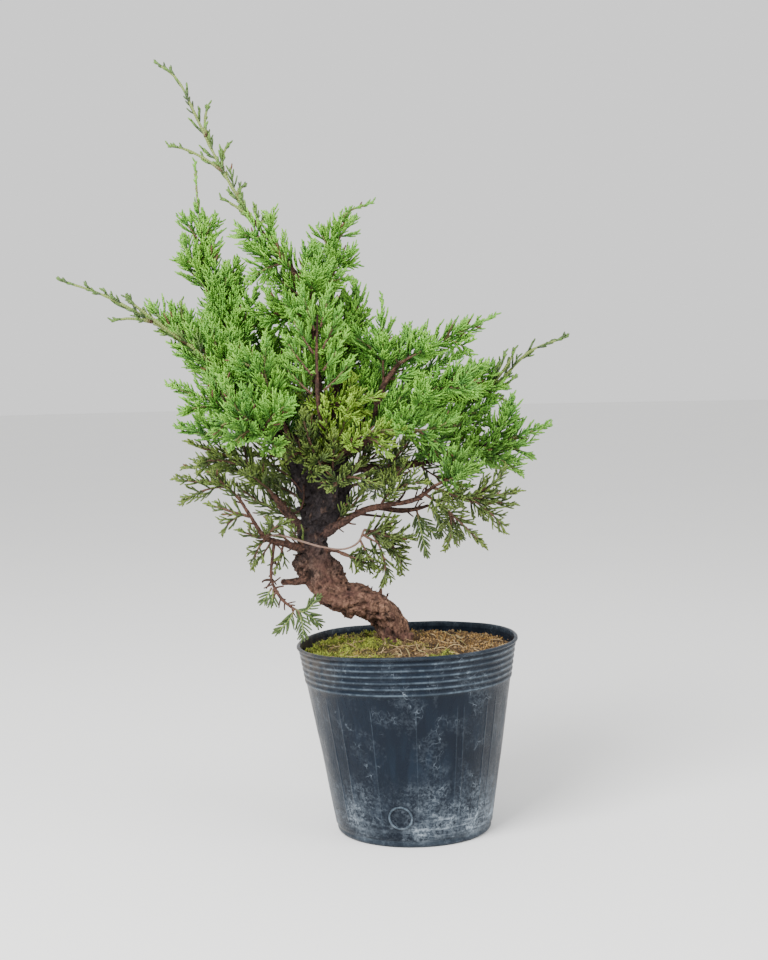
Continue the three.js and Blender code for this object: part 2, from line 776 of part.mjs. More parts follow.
// The rings of a stem. A seated stem starts at the first place where its foot is clear of the wood. Each
// goes on for as long as it is clear of every other spray.
function stemRings(curve, radii, whorl, spray, seated) {
  const length = curve.getLength();
  const turn = fullTurn / stem.sides / 2;
  const ringsFrom = (start) => {
    const grown = length - start - stem.tipLength;
    const count = Math.max(2, Math.round(grown / whorl));
    const parts = evenParts(count).map((part) => (start + part * grown) / length);
    return ringsAlong(curve, parts, (part) => radiusAlong(radii, part), stem.sides, turn);
  };
  const wood = taken.filter((other) => other.spray === "wood");
  const clearOfWood = ([foot]) => wood.every((other) => apart(foot, other, clearance));
  let start = 0;
  let rings = ringsFrom(start);
  while (seated && start < length / 2 && !clearOfWood(bandPieces(rings, spray, spray))) {
    start += stem.seatStep;
    rings = ringsFrom(start);
  }
  const blocked = bandPieces(rings, spray, spray).findIndex((piece, band) => {
    if (!seated && band < 2) return false;
    return taken.some((other) => other.spray !== spray && !apart(piece, other, clearance));
  });
  return blocked < 0 ? rings : rings.slice(0, Math.max(blocked + 1, 2));
}

function growStem(spray, index, curve, radii, seated) {
  const rings = stemRings(curve, radii, habits[sprays[spray].habit].whorl, spray, seated);
  const end = rings[rings.length - 1];
  const tip = end.centre.clone().addScaledVector(end.along, stem.tipLength);
  const owner = `${spray} ${index}`;
  const pieces = bandPieces(rings, owner, spray);
  taken.push(...pieces, pieceOf(owner, spray, [...end.corners, tip], pieces.length));
  return { rings, tip, owner, spray, curve };
}

function growMainStem(spray) {
  const curve = new THREE.CatmullRomCurve3(sprays[spray].stem.map(toVector), false, "centripetal");
  return growStem(spray, 0, curve, [stem.radius, stem.tipRadius], true);
}

// The arms that a stem grows by rule: evenly along it, each turned on from the last, and shorter to the tip.
function ruledArms(spray, curve) {
  const { armSpacing, armLength } = habits[sprays[spray].habit];
  const length = curve.getLength();
  const room = length - stem.armFrom - stem.armEnd;
  const count = armSpacing ? Math.floor(room / armSpacing) : 0;
  const parts = Array.from({ length: count }, (_, i) => (stem.armFrom + i * armSpacing) / length);
  const lean = THREE.MathUtils.degToRad(stem.armLean);
  return ringsAlong(curve, parts, () => 1, 1, stem.armTurn).map(({ centre, along, corners, part }) => {
    const outward = corners[0].clone().sub(centre);
    const direction = outward.multiplyScalar(Math.sin(lean)).addScaledVector(along, Math.cos(lean));
    const reach = armLength * (1 - stem.armShrink * part);
    return [part, direction.multiplyScalar(reach).add(centre)];
  });
}

// An arm leaves the stem along it and then bows out to its own tip.
function growArm(spray, index, curve, part, to) {
  const from = curve.getPointAt(part);
  const bow = from.clone().lerp(to, 0.5);
  bow.addScaledVector(curve.getTangentAt(part), stem.armBow * from.distanceTo(to));
  const arm = new THREE.QuadraticBezierCurve3(from, bow, to);
  return growStem(spray, index, arm, [stem.armFootRadius, stem.armRadius, stem.tipRadius], false);
}

function growArms(main) {
  const { spray, curve, rings } = main;
  const first = rings[0].part + stem.armFoot / curve.getLength();
  const last = rings[rings.length - 1].part;
  const reached = sprays[spray].arms.map(([part, end]) => [part, toVector(end)]);
  const arms = [...reached, ...ruledArms(spray, curve)].filter(([part]) => part < last);
  return arms.map(([part, end], i) => growArm(spray, i + 1, curve, Math.max(part, first), end));
}

// A shoot, with its outer part as a piece of its own: neighbours on a stem share corners at their feet, and
// only their outer parts have to keep apart from each other.
function shootPiece(grown, band, face, apex) {
  const shoot = pieceOf(grown.owner, grown.spray, [...face, apex], band);
  const raised = face.map((corner) => corner.clone().lerp(apex, stem.sharedFoot));
  shoot.outer = pieceOf(grown.owner, grown.spray, [...raised, apex], band);
  return shoot;
}

function hasRoom(shoot) {
  return taken.every((other) => {
    const neighbour = other.owner === shoot.owner && Math.abs(other.band - shoot.band) < 2;
    if (!neighbour) return apart(shoot, other, clearance);
    if (!apart(shoot.outer, other, stem.neighbourGap)) return false;
    return !other.outer || apart(shoot, other.outer, stem.neighbourGap);
  });
}

// The apex of a shoot on one face of a stem. A shoot with no room is turned aside or shortened, or left out.
function shootApex(grown, habit, band, face) {
  const [ring, nextRing] = [grown.rings[band], grown.rings[band + 1]];
  const middle = face.reduce((sum, corner) => sum.add(corner), new THREE.Vector3());
  middle.divideScalar(face.length);
  const outward = middle.clone().sub(ring.centre.clone().lerp(nextRing.centre, 0.5));
  outward.addScaledVector(ring.along, -outward.dot(ring.along)).normalize();
  const lean = THREE.MathUtils.degToRad(habit.lean);
  const part = (band + 0.5) / grown.rings.length;
  const jitter = () => THREE.MathUtils.seededRandom() - 0.5;
  const length = habit.reach * (1 - habit.taper * part) * (1 + stem.lengthJitter * jitter());
  const turn = stem.turnJitter * jitter();
  for (const shortening of stem.shortenings) {
    for (const aside of stem.turns) {
      const direction = outward.clone().applyAxisAngle(ring.along, turn + aside);
      direction.multiplyScalar(Math.sin(lean)).addScaledVector(ring.along, Math.cos(lean));
      direction.z += habit.rise;
      const apex = direction.normalize().multiplyScalar(length * shortening).add(middle);
      const shoot = shootPiece(grown, band, face, apex);
      if (hasRoom(shoot)) {
        taken.push(shoot);
        return apex;
      }
    }
  }
  return null;
}

// The stem of a spray and its arms, each with its shoots, joined where the arms leave the stem.
function spraySolid(stems, habit) {
  const grown = stems.map((one) =>
    toSolid(skinOver(one.rings, one.tip, (band, face) => shootApex(one, habit, band, face))),
  );
  return grown.reduce((sum, one) => sum.add(one));
}

function makeMesh(name, solid, colour, roughness) {
  const material = new THREE.MeshStandardMaterial({ color: colour, roughness, metalness: 0 });
  const mesh = new THREE.Mesh(toGeometry(solid), material);
  mesh.name = name;
  return mesh;
}

THREE.MathUtils.seededRandom(seed);
taken.push(...rimPieces());
const tree = new THREE.Group();
tree.add(makeMesh("pot", potSolid(), pot.colour, pot.roughness));
tree.add(makeMesh("soil", toSolid(soilGeometry()).subtract(footHole()), soil.colour, soil.roughness));
tree.add(makeMesh("wood", woodSolid(), bark.colour, bark.roughness));

// Every main stem takes its place first, then every arm, and then the shoots.
const mainStems = Object.keys(sprays).map(growMainStem);
const stemsOfSprays = mainStems.map((main) => [main, ...growArms(main)]);
const foliage = new THREE.Group();
for (const stems of stemsOfSprays) {
  const { spray } = stems[0];
  const habit = habits[sprays[spray].habit];
  foliage.add(makeMesh(`spray_${spray}`, spraySolid(stems, habit), habit.colour, stem.roughness));
}
tree.add(foliage);

export default tree;
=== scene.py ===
# A young itoigawa juniper, trained as a bonsai, in its soft nursery pot.
# Lengths in the tables are millimetres in the part's own frame; the meshes are made in metres.
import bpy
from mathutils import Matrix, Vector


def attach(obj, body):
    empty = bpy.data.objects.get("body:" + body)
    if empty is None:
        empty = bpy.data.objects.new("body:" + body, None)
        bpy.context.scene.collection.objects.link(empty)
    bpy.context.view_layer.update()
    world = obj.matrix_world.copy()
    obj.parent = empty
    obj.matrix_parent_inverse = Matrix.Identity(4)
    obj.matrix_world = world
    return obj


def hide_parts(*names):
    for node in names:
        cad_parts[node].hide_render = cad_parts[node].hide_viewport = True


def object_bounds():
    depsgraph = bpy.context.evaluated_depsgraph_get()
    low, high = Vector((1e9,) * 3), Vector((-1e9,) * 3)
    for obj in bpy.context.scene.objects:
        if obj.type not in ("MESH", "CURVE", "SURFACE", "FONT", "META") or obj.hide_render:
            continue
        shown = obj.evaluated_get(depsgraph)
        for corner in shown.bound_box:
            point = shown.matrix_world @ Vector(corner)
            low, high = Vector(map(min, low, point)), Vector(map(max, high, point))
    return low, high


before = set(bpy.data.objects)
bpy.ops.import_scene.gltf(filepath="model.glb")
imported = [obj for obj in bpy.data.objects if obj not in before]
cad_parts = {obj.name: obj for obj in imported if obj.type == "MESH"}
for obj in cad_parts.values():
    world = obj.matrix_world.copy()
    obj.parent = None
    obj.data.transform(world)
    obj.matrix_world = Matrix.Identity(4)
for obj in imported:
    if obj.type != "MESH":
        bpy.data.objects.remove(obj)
cadBox = [[float(value) for value in corner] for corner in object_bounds()]

import itertools
import math
import bpy
import numpy as np
from mathutils import Matrix, Vector

millimetre = 0.001
goldenAngle = math.pi * (3 - math.sqrt(5))
upward = np.array([0, 0, 1.0])
draw = np.random.default_rng(20417)
# each noise pattern has its own seed, and two lie at a height of their own
seeds = {"dent": 3, "wave": 9, "crumb": 12, "fineCrumb": 15, "cushion": 19, "moss": 31, "rust": 57,
         "burr": 44, "plate": 71, "valley": 83, "pit": 91, "twigHollow": 5}
shifts = {"moss": 4, "rust": 9}


# Helpers for arrays of points

def unit(vectors):
    # each vector divided by its own length
    return vectors / np.maximum(np.linalg.norm(vectors, axis=-1, keepdims=True), 1e-9)


def dot(a, b):
    return np.sum(a * b, axis=-1, keepdims=True)


def evenAngles(count):
    return np.arange(count) * 2 * math.pi / count


def onCircle(radius, angle, height=0):
    # points at a distance and an angle round the Z axis
    return np.stack(np.broadcast_arrays(radius * np.cos(angle), radius * np.sin(angle), height), axis=-1)


def turned(side, along, angle):
    # a side vector turned by an angle about the direction along
    return side * np.cos(angle)[:, None] + np.cross(along, side) * np.sin(angle)[:, None]


def gridNoise(points, seed, primes=(374761393, 668265263, 1440662683), seedPrime=97561, stirPrime=1274126177):
    # every corner of a unit grid has a hashed value from -1 to 1, and a point blends its 8 corners by 3t^2 - 2t^3
    base = np.floor(points).astype(np.int64)
    part = points - base
    blend = part * part * (3 - 2 * part)
    total = np.zeros(points.shape[:-1])
    for corner in itertools.product((0, 1), repeat=3):
        cell = base + np.array(corner)
        mixed = (sum(cell[..., k] * primes[k] for k in range(3)) + seed * seedPrime) & 0xFFFFFFFF
        mixed = ((mixed ^ (mixed >> 13)) * stirPrime) & 0xFFFFFFFF
        value = ((mixed ^ (mixed >> 16)) & 0xFFFF) / 32767.5 - 1
        total += value * np.prod(np.where(corner, blend, 1 - blend), axis=-1)
    return total


def layeredNoise(points, seed, layers):
    # the sum of gridNoise at doubling frequency and halving height
    return sum(gridNoise(points * 2 ** layer, seed + layer) / 2 ** layer for layer in range(layers))


def noiseOver(x, y, size, pattern, layers):
    # noise over the plan, with lumps of the given size
    height = 0 * x + shifts.get(pattern, 0)
    return layeredNoise(np.stack([x / size, y / size, height], axis=-1), seeds[pattern], layers)


def densePath(path, each=24):
    # centripetal Catmull-Rom through the points: on each stretch a cubic from one point to the next, whose slopes
    # weigh the neighbouring stretches by the square roots of their lengths
    points = np.array(path, float)
    points = np.vstack([2 * points[0] - points[1], points, 2 * points[-1] - points[-2]])
    before, start, end, after = points[:-3], points[1:-2], points[2:-1], points[3:]
    pairs = ((before, start), (start, end), (end, after))
    gap = [np.sqrt(np.linalg.norm(b - a, axis=1, keepdims=True)) for a, b in pairs]
    slopeIn = ((start - before) / gap[0] - (end - before) / (gap[0] + gap[1]) + (end - start) / gap[1]) * gap[1]
    slopeOut = ((end - start) / gap[1] - (after - start) / (gap[1] + gap[2]) + (after - end) / gap[2]) * gap[1]
    t = np.linspace(0, 1, each, endpoint=False)[None, :, None]
    start, end, slopeIn, slopeOut = (values[:, None, :] for values in (start, end, slopeIn, slopeOut))
    square = (3 * (end - start) - 2 * slopeIn - slopeOut) * t ** 2
    cubic = start + slopeIn * t + square + (2 * (start - end) + slopeIn + slopeOut) * t ** 3
    return np.vstack([cubic.reshape(-1, 3), points[-2]])


def bowPath(start, control, end, each=40):
    # a quadratic Bezier: (1-t)^2 start + 2t(1-t) control + t^2 end
    t = np.linspace(0, 1, each)[:, None]
    return (1 - t) ** 2 * start + 2 * t * (1 - t) * control + t ** 2 * end


def cordLine(cords, t):
    # the points of each cord at t: start + length * (first * (t - t^2/2) + last * t^2/2)
    t = np.broadcast_to(t, (len(cords["start"]), np.shape(t)[-1]))[..., None]
    bent = cords["first"][:, None] * (t - t ** 2 / 2) + cords["last"][:, None] * t ** 2 / 2
    return cords["start"][:, None] + cords["length"][:, None, None] * bent


def runAlong(path):
    # the length from the start of a path to each of its points
    return np.concatenate([[0], np.cumsum(np.linalg.norm(np.diff(path, axis=0), axis=1))])


def pathLength(path):
    return np.linalg.norm(np.diff(path, axis=0), axis=1).sum()


def walk(path, parts):
    # the points and directions at the given parts of a path's length
    run = runAlong(path)
    place = np.asarray(parts) * run[-1]
    points, slopes = (np.stack([np.interp(place, run, values[:, k]) for k in range(3)], axis=-1)
                      for values in (path, np.gradient(path, axis=0)))
    return points, unit(slopes)


def carriedSides(directions, first=(0, -1, 0)):
    # a side vector carried along a path: at each ring it loses its share along the path
    side = np.array(first, float)
    sides = []
    for along in directions:
        side = unit(side - dot(side, along) * along)
        sides.append(side)
    return np.array(sides)


def ringFaces(rings, corners):
    # quads between neighbouring rings of points, and triangles from the first and last ring to the two poles that
    # come after all the rings
    edge = np.arange(corners)
    after = (edge + 1) % corners
    row = np.arange(rings - 1)[:, None] * corners
    quads = np.stack([row + edge, row + after, row + after + corners, row + edge + corners], axis=-1).reshape(-1, 4)
    last, pole = (rings - 1) * corners, np.full(corners, rings * corners)
    foot, cap = [after, edge, pole], [last + edge, last + after, pole + 1]
    return quads, np.vstack([np.stack(ends, axis=-1) for ends in (foot, cap)])


def tubes(centres, radii, sides, corners, tipLength=1.0):
    # Many tubes at once. Ring k of tube n has corners centre + radius(cos a * side + sin a * across), where across
    # is along x side. A pole closes each end. centres (n, k, 3), radii (n, k) or (n, k, corners), and one side for
    # all or sides (n, k, 3).
    count, rings = centres.shape[:2]
    sides = np.broadcast_to(sides, centres.shape)
    along = unit(np.gradient(centres, axis=1))
    side = unit(sides - dot(sides, along) * along)
    across = np.cross(along, side)
    angle = evenAngles(corners)[:, None]
    radii = np.broadcast_to(radii.reshape(count, rings, -1), (count, rings, corners))
    spokes = np.cos(angle) * side[:, :, None, :] + np.sin(angle) * across[:, :, None, :]
    ring = centres[:, :, None, :] + radii[..., None] * spokes
    tip = centres[:, -1] + along[:, -1] * radii[:, -1].mean(-1, keepdims=True) * tipLength
    points = np.concatenate([ring.reshape(count, -1, 3), centres[:, :1], tip[:, None]], axis=1)
    quads, triangles = ringFaces(rings, corners)
    shift = np.arange(count)[:, None, None] * points.shape[1]
    reach = np.concatenate([np.repeat(np.linspace(0, 1, rings), corners), [0, 1]])
    return {
        "points": points.reshape(-1, 3),
        "quads": (quads + shift).reshape(-1, 4),
        "triangles": (triangles + shift).reshape(-1, 3),
        "reach": np.tile(reach, count),
        "each": points.shape[1],
    }


def perTube(shape, **values):
    # each value has one number for each tube, which all the tube's points take
    for name, value in values.items():
        shape[name] = np.repeat(value, shape["each"])
    return shape


def joined(shapes):
    # several shapes as one list of points and faces
    shift = np.cumsum([0] + [len(shape["points"]) for shape in shapes[:-1]])
    names = set.intersection(*(set(shape) for shape in shapes)) - {"quads", "triangles", "each"}
    whole = {name: np.concatenate([shape[name] for shape in shapes]) for name in names}
    for kind in ("quads", "triangles"):
        whole[kind] = np.concatenate([shape[kind] + add for shape, add in zip(shapes, shift)]).astype(np.int32)
    return whole


def meshOf(name, shape, values=()):
    # points in millimetres, quads first and then triangles; each value becomes a point attribute of its own name
    mesh = bpy.data.meshes.new(name)
    quads, triangles = shape["quads"], shape["triangles"]
    corners = np.concatenate([quads.ravel(), triangles.ravel()]).astype(np.int32)
    starts = np.concatenate([np.arange(len(quads)) * 4, len(quads) * 4 + np.arange(len(triangles)) * 3])
    mesh.vertices.add(len(shape["points"]))
    mesh.loops.add(len(corners))
    mesh.polygons.add(len(starts))
    mesh.vertices.foreach_set("co", (shape["points"] * millimetre).astype(np.float32).ravel())
    mesh.loops.foreach_set("vertex_index", corners)
    mesh.polygons.foreach_set("loop_start", starts.astype(np.int32))
    mesh.update(calc_edges=True)
    mesh.shade_smooth()
    for value in values:
        mesh.attributes.new(value, "FLOAT", "POINT").data.foreach_set("value", shape[value].astype(np.float32))
    return mesh


def linked(name, data):
    thing = bpy.data.objects.new(name, data)
    bpy.context.scene.collection.objects.link(thing)
    return thing


def addPiece(name, mesh, material, nodes):
    piece = linked(name, mesh)
    mesh.materials.append(material)
    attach(piece, "root")
    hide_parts(*nodes)
    return piece


def applyModifiers(piece):
    bpy.context.view_layer.update()
    whole = bpy.data.meshes.new_from_object(piece.evaluated_get(bpy.context.evaluated_depsgraph_get()))
    piece.modifiers.clear()
    piece.data = whole


# Shader nodes, and the groups that several materials share

class Shade:
    # one output of a shader node; whatever is worked out from it becomes nodes of the same tree
    def __init__(self, socket):
        self.socket, self.tree = socket, socket.id_data

    def __add__(self, other):
        return calc(self.tree, "ADD", self, other)

    def __sub__(self, other):
        return calc(self.tree, "SUBTRACT", self, other)

    def __rsub__(self, other):
        return calc(self.tree, "SUBTRACT", other, self)

    def __mul__(self, other):
        return calc(self.tree, "MULTIPLY", self, other)

    def __pow__(self, other):
        return calc(self.tree, "POWER", self, other)

    def atLeast(self, other, clamp=False):
        return calc(self.tree, "MAXIMUM", self, other, clamp=clamp)

    def spread(self, low, high, toLow=0.0, toHigh=1.0):
        # what runs from low to high here runs from toLow to toHigh
        values = {"Value": self, "From Min": low, "From Max": high, "To Min": toLow, "To Max": toHigh}
        return Shade(addNode(self.tree, "ShaderNodeMapRange", values).outputs[0])

    def blend(self, one, other):
        # the first colour where this is 0, and the other where it is 1
        values = {"Factor": self, "A": one, "B": other}
        return Shade(addNode(self.tree, "ShaderNodeMix", values, data_type="RGBA").outputs["Result"])


def feed(socket, value):
    # a value is a shade, a colour of three numbers, or a plain number or vector for the socket itself
    if isinstance(value, Shade):
        socket.id_data.links.new(value.socket, socket)
    else:
        socket.default_value = (*value, 1) if socket.type == "RGBA" else value


def addNode(tree, kind, values=None, **settings):
    node = tree.nodes.new(kind)
    for name, value in settings.items():
        setattr(node, name, value)
    for name, value in (values or {}).items():
        feed(node.inputs[name], value)
    return node


def calc(tree, operation, *values, clamp=False):
    node = addNode(tree, "ShaderNodeMath", dict(enumerate(values)), operation=operation, use_clamp=clamp)
    return Shade(node.outputs[0])


def newGroup(name, inputs, outputs):
    group = bpy.data.node_groups.new(name, "ShaderNodeTree")
    for label, default in inputs.items():
        kind = "NodeSocketVector" if default is None else "NodeSocketFloat"
        socket = group.interface.new_socket(name=label, in_out="INPUT", socket_type=kind)
        if default is not None:
            socket.default_value = default
    for label in outputs:
        group.interface.new_socket(name=label, in_out="OUTPUT", socket_type="NodeSocketFloat")
    given = [Shade(socket) for socket in group.nodes.new("NodeGroupInput").outputs][:len(inputs)]
    return group, given, group.nodes.new("NodeGroupOutput").inputs


def useGroup(group, place, **values):
    # the only output of a group, or a list of them
    node = addNode(place.tree, "ShaderNodeGroup", node_tree=group)
    for name, value in {"Vector": place, **values}.items():
        feed(node.inputs[name], value)
    made = [Shade(socket) for socket in node.outputs]
    return made[0] if len(made) == 1 else made


def noise(place, scale, detail=3.0, roughness=0.55, distortion=0.0):
    values = {"Vector": place, "Scale": scale, "Detail": detail, "Roughness": roughness, "Distortion": distortion}
    return Shade(addNode(place.tree, "ShaderNodeTexNoise", values).outputs["Fac"])


def mottleGroup():
    # Broad is a soft change of tone over the surface, and Fine the same at six times the frequency
    group, (place, scale), put = newGroup("mottle", {"Vector": None, "Scale": 60.0}, ("Broad", "Fine"))
    feed(put["Broad"], noise(place, scale, 2.0).spread(0.3, 0.7))
    feed(put["Fine"], noise(place, scale * 6.0, 3.0).spread(0.3, 0.7))
    return group


def patchGroup():
    # ragged patches: a broken noise above a level that falls as Cover rises
    settings = {"Vector": None, "Scale": 40.0, "Cover": 0.5, "Edge": 0.12}
    group, (place, scale, cover, edge), put = newGroup("patches", settings, ("Mask",))
    level = 1.0 - cover
    feed(put["Mask"], noise(place, scale, 6.0, 0.68, 0.4).spread(level - edge, level + edge))
    return group


def reliefGroup():
    # small lumps and pits: coarse and fine noise added, as a height from 0 to 1
    settings = {"Vector": None, "Scale": 500.0, "Fine": 0.4}
    group, (place, scale, fine), put = newGroup("relief", settings, ("Height",))
    feed(put["Height"], noise(place, scale, 3.0) + noise(place, scale * 4.0, 2.0) * fine)
    return group


def scratchGroup(bend=0.012):
    # thin bent lines: the edges between the cells of a warped cell pattern
    settings = {"Vector": None, "Scale": 120.0, "Width": 0.04}
    group, (place, scale, width), put = newGroup("scratches", settings, ("Mask",))
    bent = Shade(addNode(group, "ShaderNodeTexNoise", {"Vector": place, "Scale": 90.0}).outputs["Color"])
    moved = {0: bent, 1: (bend, bend, bend), 2: place}
    warped = Shade(addNode(group, "ShaderNodeVectorMath", moved, operation="MULTIPLY_ADD").outputs[0])
    cells = addNode(group, "ShaderNodeTexVoronoi", {"Vector": warped, "Scale": scale}, feature="DISTANCE_TO_EDGE")
    feed(put["Mask"], Shade(cells.outputs["Distance"]).spread(width, 0.0))
    return group


mottle, patches, relief, scratches = mottleGroup(), patchGroup(), reliefGroup(), scratchGroup()


def newMaterial(name, roughness, specular):
    # the material, the inputs of its shader, and the place on the piece
    material = bpy.data.materials.new(name)
    material.use_nodes = True
    shader = material.node_tree.nodes["Principled BSDF"]
    shader.inputs["Roughness"].default_value = roughness
    shader.inputs["Specular IOR Level"].default_value = specular
    place = addNode(material.node_tree, "ShaderNodeTexCoord").outputs["Object"]
    return material, shader.inputs, Shade(place)


def attributesOf(place, *names):
    nodes = [addNode(place.tree, "ShaderNodeAttribute", attribute_name=name) for name in names]
    return [Shade(node.outputs["Fac"]) for node in nodes]


def axesOf(place):
    return [Shade(socket) for socket in addNode(place.tree, "ShaderNodeSeparateXYZ", {0: place}).outputs]


def stretched(place, scale):
    return Shade(addNode(place.tree, "ShaderNodeMapping", {"Vector": place, "Scale": scale}).outputs[0])


def patchesAt(place, scale, cover, edge):
    return useGroup(patches, place, Scale=scale, Cover=cover, Edge=edge)


def addBump(inputs, height, distance, strength=1.0):
    values = {"Distance": distance, "Strength": strength, "Height": height}
    feed(inputs["Normal"], Shade(addNode(height.tree, "ShaderNodeBump", values).outputs[0]))


# The pot

pot = {
    "height": 127, "rimRadius": 75, "rimDepth": 2.6, "rimWall": 73.4, "baseRadius": 52.4, "baseRounding": 2.4,
    "flatRadius": 50, "wall": 0.9, "floor": 1.2, "ribs": 6, "ribPitch": 3.9, "ribDepth": 0.8,
    "lean": 2.5, "tilt": 1.8, "squash": 0.5, "stretch": 2.2, "rimWave": 0.35,
    "drains": 8, "drainRadius": 4, "drainCircle": 34, "drainEnds": (-2, 2.6), "drainSides": 24,
    "sides": 132, "dent": 0.45, "dentTurns": 2.2, "dentHeight": 55, "waveTurns": 3, "floorEnd": 48,
    "under": ((12, 0), (25, 0), (36, 0), (46, 0)), "step": ((52.1, 3.4), (52.5, 4.4)),
    "rim": ((73.6, 124.6), (74.5, 124.9), (75, 125.6), (74.9, 126.3), (74.4, 126.8), (73.7, 127), (73.0, 126.9),
            (72.6, 126.4), (72.5, 125.6)),
    "inside": ((49.6, 1.2), (42, 1.2), (30, 1.2), (15, 1.2)),
    "lines": (-53, -43.5, -23, 2.5, 26.4, 30.7, 48, 56.4, 92, 150, 154, 212, 241),  # degrees from the front
    "lineSteps": (-0.9, -0.35, 0, 0.35, 0.9), "lineWidth": 0.45,
    "lineHeight": 0.24, "lineTop": 96, "lineFoot": 10, "lineRubAndGlint": 0.9, "innerPaintedLight": 0.86, "rimRubAndGlint": 0.8,
    "ring": {"radius": 7.4, "thickness": 0.8, "height": 20.8, "turn": -1.74, "steps": 56, "sides": 10},
    "plastic": (0.0040, 0.0070, 0.0130), "plasticWorn": (0.0075, 0.0140, 0.0250), "rubbedAndLit": (0.085, 0.115, 0.145),
    "bloom": (0.36, 0.43, 0.50), "earthStain": (0.10, 0.080, 0.058),
}
ribFoot = pot["height"] - pot["rimDepth"] - pot["ribs"] * pot["ribPitch"]


def wallRadius(height):
    return pot["baseRadius"] + (pot["rimWall"] - pot["baseRadius"]) * height / pot["height"]


def settle(points):
    # the filled pot leans and sags: z grows to the rim, by tilt * x and by three waves, and x falls with height
    x, y, z = points.T
    rise = z / pot["height"]
    z = (z + (pot["stretch"] + pot["tilt"] * x / pot["rimRadius"]) * rise ** 2
         + pot["squash"] * np.sin(3 * np.arctan2(y, x)) * rise ** 4)
    return np.stack([x - pot["lean"] * rise, y, z], axis=-1)


def potProfile():
    # radius and height from the middle of the underside, out and up the wall, over the rim and down inside
    turn = np.linspace(0, math.pi / 2, 6)
    rounding = pot["baseRounding"]
    corner = np.stack([pot["flatRadius"] + rounding * np.sin(turn), rounding * (1 - np.cos(turn))], axis=-1)
    heights = np.arange(9, ribFoot, 3.6)
    plain = np.stack([wallRadius(heights), heights], axis=-1)
    t = np.linspace(0, pot["ribs"], pot["ribs"] * 8 + 1)
    ribHeights = ribFoot + t * pot["ribPitch"]
    swell = pot["ribDepth"] * np.sin(math.pi * np.modf(t)[0] ** 0.8) ** 1.1
    ribs = np.stack([wallRadius(ribHeights) + swell, ribHeights], axis=-1)
    inner = ribs[::-1][1::4] - [pot["wall"], 0]
    low = np.stack([wallRadius(heights) - pot["wall"], heights], axis=-1)[::-1][::2]
    foot, innerFoot = [wallRadius(6) + 0.05, 6], [wallRadius(3.6) - pot["wall"], 3.6]
    outside = [pot["under"], corner, pot["step"], foot, plain, ribs, pot["rim"]]
    return np.vstack([*outside, inner, low, innerFoot, pot["inside"]])


def lathed(profile, angles):
    # every profile point turned to every angle, with a pole in the middle at each end
    rows, columns = len(profile), len(angles)
    radius, height = (np.repeat(profile[:, k], columns).reshape(rows, columns) for k in (0, 1))
    points = onCircle(radius, angles, height).reshape(-1, 3)
    points = np.vstack([points, [0, 0, profile[0, 1]], [0, 0, profile[-1, 1]]])
    quads, triangles = ringFaces(rows, columns)
    return {"points": points, "quads": quads, "triangles": triangles}


def potShape():
    # the lathed wall, pushed out by soft dents and by the thin moulded lines that run up it
    lines = np.radians(np.array(pot["lines"]) - 90)
    close = (lines[:, None] + np.radians(pot["lineSteps"])).ravel()
    angles = np.mod(np.concatenate([evenAngles(pot["sides"]), close]), 2 * math.pi)
    shape = lathed(potProfile(), np.unique(np.round(angles, 5)))
    x, y, z = shape["points"].T
    radius = np.hypot(x, y)
    angle = np.arctan2(y, x)
    wall = np.clip((radius - pot["floorEnd"]) / 4, 0, 1)
    rise = np.clip(z / pot["height"], 0, 1)
    soft = layeredNoise(onCircle(pot["dentTurns"], angle, z / pot["dentHeight"]), seeds["dent"], 3)
    wave = layeredNoise(onCircle(pot["waveTurns"], angle), seeds["wave"], 1)
    push = pot["dent"] * soft * wall * np.clip(rise * 4, 0, 1)
    off = np.abs((angle[:, None] - lines + math.pi) % (2 * math.pi) - math.pi).min(axis=1) * radius
    span = np.clip((z - pot["lineFoot"]) / 6, 0, 1) * np.clip((pot["lineTop"] - z) / 5, 0, 1)
    line = np.exp(-(off / pot["lineWidth"]) ** 2) * span * wall
    push += pot["lineHeight"] * line
    shape["points"] += onCircle(push, angle, pot["rimWave"] * wave * rise ** 6)
    # how pale the plastic is painted: 1 on the crest of a rib, less on a moulded line, the rim and the inside, and 0
    # in the valleys and on the plain wall; on the crests, lines and rim this is rubbed wear and a painted glint, and
    # on the inside it is painted light over a wall in shade
    height = (z - ribFoot) / pot["ribPitch"]
    outside = radius > wallRadius(z) - 0.3
    ribs = np.clip((radius - wallRadius(z)) / pot["ribDepth"], 0, 1)
    below = np.where(outside, pot["lineRubAndGlint"] * line ** 0.25, pot["innerPaintedLight"])
    above = np.where(height > pot["ribs"], pot["rimRubAndGlint"], ribs)
    shape["rubbedAndLit"] = np.where((height > 0) & outside, above, below)
    shape["points"] = settle(shape["points"])
    return shape


def ringShape():
    # a torus drawn flat and bent round the wall
    ring = pot["ring"]
    steps, sides = ring["steps"], ring["sides"]
    u, v = np.meshgrid(evenAngles(steps), evenAngles(sides), indexing="ij")
    out = ring["radius"] + ring["thickness"] * np.cos(v)
    height = ring["height"] + out * np.sin(u)
    radius = wallRadius(height) + ring["thickness"] * np.sin(v)
    angle = ring["turn"] + out * np.cos(u) / wallRadius(height)
    points = onCircle(radius, angle, height).reshape(-1, 3)
    i, j = np.meshgrid(np.arange(steps), np.arange(sides), indexing="ij")
    corners = [(i + a) % steps * sides + (j + b) % sides for a, b in ((0, 0), (1, 0), (1, 1), (0, 1))]
    quads = np.stack(corners, axis=-1).reshape(-1, 4)
    # the ring is painted paler on its outer face than on its inner face: a painted highlight, on a base of painted
    # light
    rubbedAndLit = pot["innerPaintedLight"] + (1 - pot["innerPaintedLight"]) * np.sin(v).ravel()
    return {"points": settle(points), "quads": quads, "triangles": np.zeros((0, 3), int), "rubbedAndLit": rubbedAndLit}


